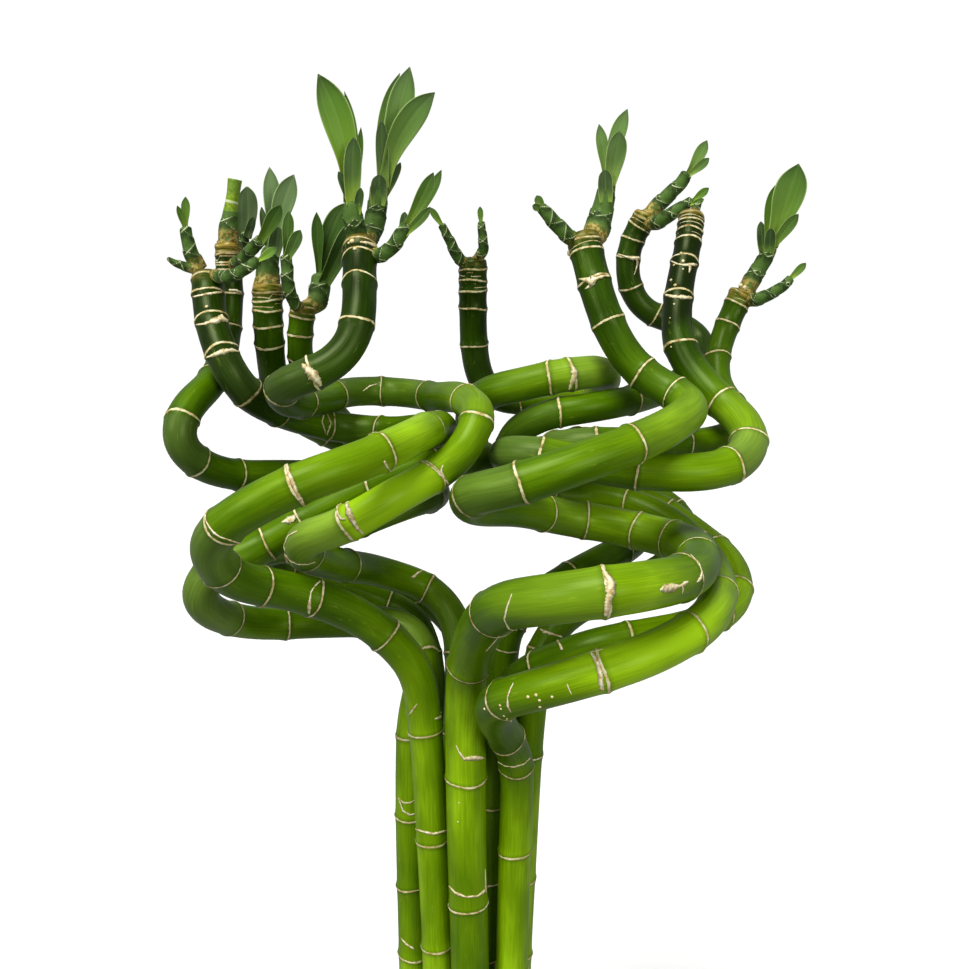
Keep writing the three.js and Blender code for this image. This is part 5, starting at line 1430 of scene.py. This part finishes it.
def shoot_tube(name, shoot):
    """A scaly stem: its points, faces and the numbers that its paint reads."""
    fine = evenly(smooth_curve(np.array([sight(*p) for p in shoot["path"]])), SHOOT_STEP)
    s = run_length(fine)
    total = s[-1]
    half = knots_at(shoot["wide"], s / total) * ahead(fine) / SIGHT
    turns = round_turns(SHOOT_SIDES)
    rise = SCALE_RISE * float(np.clip(half.mean() / SCALE_RISE_HALF, *SCALE_RISE_SHARES))
    climbs = []
    for family in range(2):
        point_at = math.pi * family + FIRST_POINT + POINT_A_LEAF * len(shoot["leaves"])
        turned = np.abs((turns - point_at + math.pi) % (2 * math.pi) - math.pi) / math.pi
        edge = rise * RIM_POINT * (1 - turned) ** RIM_CURVE
        climb = (s[:, None] - edge[None] - rise * family) / (2 * rise)
        climbs.append(climb - np.floor(climb))
    steps = SCALE_STEP * np.maximum(*climbs) ** SCALE_STEP_CURVE
    rims = [(1 - climb) * 2 * rise for climb in climbs]
    if "cut" in shoot:
        steps = steps * smooth_step((total * SCALES_END - s) / SCALES_FADE)[:, None]
        rims = [rim + (s[:, None] > total * RIMS_END) * NO_RIM for rim in rims]
        rims[0] = np.minimum(rims[0], np.abs(s[:, None] - total * JOINT_AT))
    radii = half[:, None] * (SCALE_FOOT + steps)
    if "cut" not in shoot:
        end = np.clip(1 - (total - s) / (TIP_ROUND * half[-1]), 0, 1)
        radii *= np.sqrt(1 - TIP_CLOSE * end ** 2)[:, None]
    foot = smooth_step(1 - (s - DRY_FOOT * total) / DRY_FADE)[:, None] * np.ones(SHOOT_SIDES)
    numbers = {"edge_a": rims[0].ravel(), "edge_b": rims[1].ravel(), "foot": foot.ravel()}
    skin = skin_places(turns, half, s + SHOOTS_APART * len(name)).reshape(-1, 3)
    return tube_points(fine, radii, turns).reshape(-1, 3), tube_faces(len(s), SHOOT_SIDES), skin, numbers


print("a shoot's tube has", SHOOT_SIDES, "sides and a row every", SHOOT_STEP, "mm")

# %% [markdown]
# ## Leaf blades
#
# Each blade is a thin sheet, hollow towards its upper side, that wraps the tube at its base, widens
# past the middle and ends in a narrow tip. A flat card with a leaf picture would be cheaper, but it
# has no thickness, and these blades are few enough to build as closed forms.

# %% Leaf blades
BLADE_ROWS = 26
BLADE_HALF = 7
BLADE_THICK = 0.5
# half widths along a pointed and a blunt blade, as shares of the widest
POINTED_SHARES = (0.42, 0.45, 0.51, 0.61, 0.75, 0.9, 0.98, 1.0, 0.9, 0.6, 0.03)
BLUNT_SHARES = (0.8, 0.86, 0.92, 0.97, 1.0, 1.0, 0.99, 0.95, 0.87, 0.7, 0.12)
# in half widths: how hollow a blade is at its tip and how much more at its base, how high its edges
# ripple, and the depth and half width of the groove over its middle vein
HOLLOW = (0.2, 0.5)
RIPPLE = 0.05
GROOVE = (0.05, 0.14)
# radians of ripple along a blade
RIPPLES = 9
# shares of the thickness that are left at the edges and at the tip
EDGE_THICK = 0.35
TIP_THICK = 0.3


def blade_sheet(leaf, seed):
    """A hollow pointed sheet: its points, faces and place numbers."""
    start, tip, width, bow, turn, blunt = leaf
    a = sight(*start)
    b = sight(*tip)
    across = unit(np.cross(b - a, unit(EYE - a)))
    scale = ahead(a) / SIGHT
    middle = (a + b) / 2 + across * bow * scale
    t = np.linspace(0, 1, BLADE_ROWS)[:, None]
    line = (1 - t) ** 2 * a + 2 * t * (1 - t) * middle + t ** 2 * b
    along = unit(np.gradient(line, axis=0))
    flat = unit(across - along * (along @ across)[:, None])
    up = np.cross(flat, along)
    cos, sin = math.cos(math.radians(turn)), math.sin(math.radians(turn))
    flat, up = flat * cos + up * sin, up * cos - flat * sin
    shares = (1 - blunt) * np.array(POINTED_SHARES) + blunt * np.array(BLUNT_SHARES)
    half = eased(width * scale / 2 * knots_at(shares, t[:, 0]), 2)[:, None]
    q = np.linspace(-1, 1, 2 * BLADE_HALF + 1)[None]
    hollow = HOLLOW[0] + HOLLOW[1] * (1 - t) ** 2
    ripple = RIPPLE * np.sin(RIPPLES * t + seed)
    lift = (q ** 2 * hollow + ripple * q - hill(q, *GROOVE)) * half
    centre = line[:, None] + flat[:, None] * (q * half)[:, :, None] + up[:, None] * lift[:, :, None]
    thick = BLADE_THICK * (EDGE_THICK + (1 - EDGE_THICK) * (1 - q ** 2))
    thick = thick * np.clip(half / half.max(), TIP_THICK, 1)
    over = up[:, None] * (thick / 2)[:, :, None]
    ring = np.concatenate([centre + over, (centre - over)[:, ::-1]], 1)
    place = np.empty(ring.shape)
    place[:, :, 0] = np.concatenate([q, q[:, ::-1]], 1)
    place[:, :, 1] = t
    place[:, :, 2] = seed
    return ring.reshape(-1, 3), tube_faces(BLADE_ROWS, ring.shape[1]), place.reshape(-1, 3)


print("a blade has", 2 * (2 * BLADE_HALF + 1) * BLADE_ROWS, "points")

# %% [markdown]
# ## Tubes and blades together
#
# The tube and the blades of one shoot are one object, because they grew as one piece. It carries
# three materials, for scales, blades and the fresh green of the cut shoot, and each face takes one.

# %% Shoots
LEAF_SEED = 1.7
SHOOT_SEED = 3.1
# how much of a blunt leaf's darkening shows
SCALY_SHARE = 0.9


def build_shoot(name, shoot, seed):
    """One shoot as one piece: its tube, then its blades. It gives the number of blades."""
    points, faces, skin, numbers = shoot_tube(name, shoot)
    sheets = [blade_sheet(leaf, seed + LEAF_SEED * k) for k, leaf in enumerate(shoot["leaves"])]
    bare_from = STUB_BARE_FROM * len(points) / SHOOT_SIDES if "cut" in shoot else math.inf
    kinds = [2 if i // SHOOT_SIDES >= bare_from else 0 for i in range(len(faces))]
    mixes = [np.zeros((len(points), 3))]
    for leaf, (sheet, sheet_faces, place) in zip(shoot["leaves"], sheets):
        own = (SCALY_SHARE * leaf[5], shoot.get("grey", 0), shoot.get("deep", 0))
        mixes.append(np.tile(own, (len(sheet), 1)))
        kinds += [1] * len(sheet_faces)
    all_points, all_faces = joined([(points, faces)] + [sheet[:2] for sheet in sheets])
    on_leaves = np.zeros(len(all_points) - len(points))
    piece = make_piece(
        name + "_leafy", all_points, all_faces, [SCALE, BLADE, STUB],
        numbers={kind: np.concatenate([values, on_leaves]) for kind, values in numbers.items()},
        vectors={"skin": np.vstack([skin] + [sheet[2] for sheet in sheets]), "leaf_mix": np.vstack(mixes)},
        face_materials=kinds)
    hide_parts(name)
    return len(sheets)


leaves = sum(build_shoot(name, shoot, SHOOT_SEED * k) for k, (name, shoot) in enumerate(SHOOTS.items()))
print("shoots:", len(SHOOTS), "leaves:", leaves)

# %% [markdown]
# ## Material: glazed stoneware
#
# The vase is glazed stoneware: clay turned on a wheel and fired under an off-white glaze, IOR 1.5. The
# glaze is glossy, with faint throwing lines a few millimetres apart, tiny iron specks, and
# an unglazed foot ring. The lines are a sine wave up the height, as fingers leave them on the wheel.

# %% Glazed stoneware
SPECKS_A_METRE = 900.0
SHADES_A_METRE = 25.0
# radians a metre, for throwing lines about 5 mm apart
THROWING_LINES = 1257.0
# the glaze stops between these heights, in metres
GLAZE_LINE = (0.0032, 0.0026)
GLAZE_ROUGH = 0.16
CLAY_ROUGH = 0.8

glaze = bpy.data.materials.new("glazed_stoneware")
tree = empty_tree(glaze)
where = add_node(tree, "ShaderNodeTexCoord").outputs["Object"]
height = add_node(tree, "ShaderNodeSeparateXYZ", {0: where}).outputs[2]
specks = add_node(tree, "ShaderNodeTexNoise", {"Vector": where, "Scale": SPECKS_A_METRE, "Detail": 2.0})
speckled = add_node(tree, "ShaderNodeMapRange", {
    "Value": specks, "From Min": 0.7, "From Max": 0.76, "To Max": 0.6})
shades = add_node(tree, "ShaderNodeTexNoise", {"Vector": where, "Scale": SHADES_A_METRE, "Detail": 3.0})
bare = add_node(tree, "ShaderNodeMapRange", {
    "Value": height, "From Min": GLAZE_LINE[0], "From Max": GLAZE_LINE[1]})
colour = linear("#efece5")
for factor, over in ((shades, "#dfdacf"), (speckled, "#8a7f6c"), (bare, "#b9a688")):
    colour = add_node(tree, "ShaderNodeMix", {0: factor, 6: colour, 7: linear(over)}, data_type="RGBA")
rough = add_node(tree, "ShaderNodeMapRange", {"Value": bare, "To Min": GLAZE_ROUGH, "To Max": CLAY_ROUGH})
lines = add_node(tree, "ShaderNodeMath", {0: height, 1: THROWING_LINES}, operation="MULTIPLY")
wave = add_node(tree, "ShaderNodeMath", {0: lines}, operation="SINE")
bump = add_node(tree, "ShaderNodeBump", {"Strength": 0.12, "Distance": 0.0004, "Height": wave})
shader = add_node(tree, "ShaderNodeBsdfPrincipled", {
    "Base Color": colour, "Roughness": rough, "IOR": 1.5, "Normal": bump, "Coat Weight": 0.3,
    "Coat Roughness": 0.08})
add_node(tree, "ShaderNodeOutputMaterial", {"Surface": shader})
print("material:", glaze.name)

# %% [markdown]
# ## The vase
#
# A potter turns a vase, so it is made in the same way: a profile of its wall, with a rounded rim and
# a foot ring, is spun round the upright axis in 96 steps. A cylinder with bevels could do as well,
# but the profile gives the wall, the floor and the foot in one closed form.

# %% Vase
VASE_RADIUS = 45
VASE_HEIGHT = 178
VASE_WALL = 6
VASE_FLOOR = 8
VASE_TURNS = 96
RIM_ROUND = 3
RIM_STEPS = 11
# the foot ring and the outside: how far in from the full radius, and how high
VASE_OUTSIDE = (
    (13.4, 0.9), (12.8, 0.5), (12.0, 0.0), (8.2, 0.0), (7.2, 0.6), (5.5, 2.5), (3.2, 5.4), (1.6, 9),
    (0.6, 14), (0, 22), (0, 60), (0, 110), (0, VASE_HEIGHT - 8))


def spun(profile, sides):
    """Points and faces of a closed shape spun round Z. The profile starts and ends on the axis."""
    rings = profile[1:-1]
    turns = round_turns(sides)
    points = [(r * math.cos(a), r * math.sin(a), z) for r, z in rings for a in turns]
    points += [(0, 0, profile[0][1]), (0, 0, profile[-1][1])]
    faces = tube_faces(len(rings), sides)[:-2]
    top = (len(rings) - 1) * sides
    for k in range(sides):
        after = (k + 1) % sides
        faces.append([len(points) - 2, after, k])
        faces.append([len(points) - 1, top + k, top + after])
    return np.array(points, float), faces


inside = VASE_RADIUS - VASE_WALL
rim = [(VASE_RADIUS - RIM_ROUND, VASE_HEIGHT - RIM_ROUND) + RIM_ROUND * np.array((math.cos(a), math.sin(a)))
       for a in np.linspace(0, math.pi, RIM_STEPS)]
profile = [(0, VASE_OUTSIDE[0][1])] + [(VASE_RADIUS - inset, z) for inset, z in VASE_OUTSIDE] + rim
profile += [(inside, VASE_HEIGHT - 12), (inside, 90), (inside, VASE_FLOOR + 4)]
profile += [(inside - 4, VASE_FLOOR), (0, VASE_FLOOR)]
vase = make_piece("vase_glazed", *spun(profile, VASE_TURNS), [glaze])
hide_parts("vase")
print("vase:", 2 * VASE_RADIUS, "mm wide,", VASE_HEIGHT, "mm tall")

# %% [markdown]
# ## Material: washed pebbles
#
# Washed river pebbles are worn smooth but not polished: matt, with a fine grain and an IOR of 1.5. A
# river mixes rocks, so each stone carries its own number, and a colour ramp turns that into grey,
# sand or white. One material for all is enough.

# %% Washed pebble
PEBBLE_SHADES = ((0.0, "#8d857a"), (0.3, "#b3a48c"), (0.55, "#c9bda8"), (0.75, "#a7a29a"), (1.0, "#e6e0d4"))
GRAINS_A_METRE = 700.0
GRAIN_SHARE = 0.35

stone = bpy.data.materials.new("washed_river_pebble")
tree = empty_tree(stone)
shade = add_node(tree, "ShaderNodeAttribute", attribute_name="shade").outputs["Fac"]
where = add_node(tree, "ShaderNodeTexCoord").outputs["Object"]
grain = add_node(tree, "ShaderNodeTexNoise", {"Vector": where, "Scale": GRAINS_A_METRE, "Detail": 5.0})
colour = add_node(tree, "ShaderNodeValToRGB", {0: shade}, PEBBLE_SHADES)
colour = add_node(
    tree, "ShaderNodeMix", {0: GRAIN_SHARE, 6: colour, 7: grain}, data_type="RGBA", blend_type="OVERLAY")
bump = add_node(tree, "ShaderNodeBump", {"Strength": 0.3, "Distance": 0.0003, "Height": grain})
shader = add_node(tree, "ShaderNodeBsdfPrincipled", {
    "Base Color": colour, "Roughness": 0.55, "IOR": 1.5, "Normal": bump})
add_node(tree, "ShaderNodeOutputMaterial", {"Surface": shader})
print("material:", stone.name)

# %% [markdown]
# ## The pebbles
#
# Pebbles of 6 to 10 mm fill the vase and hold the stalks up. Only the top layer shows, so a plain fill
# carries a bed of rounded, slightly flattened stones. Each stone is a small ball pushed out of round.
# They could be dropped by a physics run, but seeded random places give the same bed every time,
# and none is laid in a stalk.

# %% Pebbles
# the plain fill: its gap to the vase, its sides, how far its top lies under the stones, its shade
FILL_GAP = 0.3
FILL_SIDES = 64
FILL_SINK = 2.0
FILL_SHADE = 0.1
BALL_ROWS = 7
BALL_SIDES = 12
# tries at laying a stone, and the range of its half length in millimetres
STONE_TRIES = 2600
STONE_RADII = (3.0, 5.2)
# a stone keeps this share of its half length clear of a stalk, and its middle this share of both
# half lengths from a neighbour's
STALK_ROOM = 0.55
STONE_ROOM = 0.72
# stones lie this far below the gravel's top, give or take as much
STONE_SINK = 0.6

spread = np.linspace(-math.pi / 2, math.pi / 2, BALL_ROWS + 2)[1:-1]
ball, ball_faces = spun([(0, -1)] + [(math.cos(a), math.sin(a)) for a in spread] + [(0, 1)], BALL_SIDES)
fill_radius = inside - FILL_GAP
fill_floor = VASE_FLOOR + FILL_GAP
fill_top = GRAVEL_TOP - FILL_SINK
fill_profile = [(0, fill_floor), (fill_radius - 4, fill_floor), (fill_radius, fill_floor + 4)]
fill_profile += [(fill_radius, fill_top - 0.5), (fill_radius - 1, fill_top), (0, fill_top)]
forms = [spun(fill_profile, FILL_SIDES)]
shades = [np.full(len(forms[0][0]), FILL_SHADE)]
# where each stalk leaves the gravel, and its radius there
feet = []
for line, stalk in zip(LINES, STALKS):
    feet.append((line[np.argmin(np.abs(line[:, 2] - GRAVEL_TOP))][:2], stalk["radii"][0]))


def stone_form(size, dice):
    """A ball pushed out of round, turned and tipped."""
    form = ball * (size, size * dice.uniform(0.75, 0.95), size * dice.uniform(0.55, 0.75))
    form = form * (1 + 0.06 * np.sin(ball @ dice.uniform(-3, 3, 3) + dice.uniform(0, 6)))[:, None]
    yaw = dice.uniform(0, math.pi)
    tip = dice.uniform(-0.3, 0.3)
    turn = np.array([[math.cos(yaw), -math.sin(yaw), 0], [math.sin(yaw), math.cos(yaw), 0], [0, 0, 1]])
    lean = np.array([[1, 0, 0], [0, math.cos(tip), -math.sin(tip)], [0, math.sin(tip), math.cos(tip)]])
    return form @ (turn @ lean).T


dice = np.random.default_rng(5)
laid = []
for _ in range(STONE_TRIES):
    far = fill_radius * math.sqrt(dice.uniform(0, 1))
    angle = dice.uniform(0, 2 * math.pi)
    size = dice.uniform(*STONE_RADII)
    spot = np.array([far * math.cos(angle), far * math.sin(angle)])
    on_stalk = any(np.hypot(*(spot - foot)) < reach + STALK_ROOM * size for foot, reach in feet)
    on_stone = any(np.hypot(*(spot - other)) < STONE_ROOM * (size + reach) for other, reach in laid)
    if far + size > fill_radius - 0.1 or on_stalk or on_stone:
        continue
    laid.append((spot, size))
    form = stone_form(size, dice) + (*spot, GRAVEL_TOP - STONE_SINK + dice.uniform(-STONE_SINK, STONE_SINK))
    forms.append((form, ball_faces))
    shades.append(np.full(len(form), dice.uniform(0, 1)))
gravel = make_piece("gravel_pebbles", *joined(forms), [stone], numbers={"shade": np.concatenate(shades)})
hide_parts("gravel")
print("pebbles laid:", len(laid))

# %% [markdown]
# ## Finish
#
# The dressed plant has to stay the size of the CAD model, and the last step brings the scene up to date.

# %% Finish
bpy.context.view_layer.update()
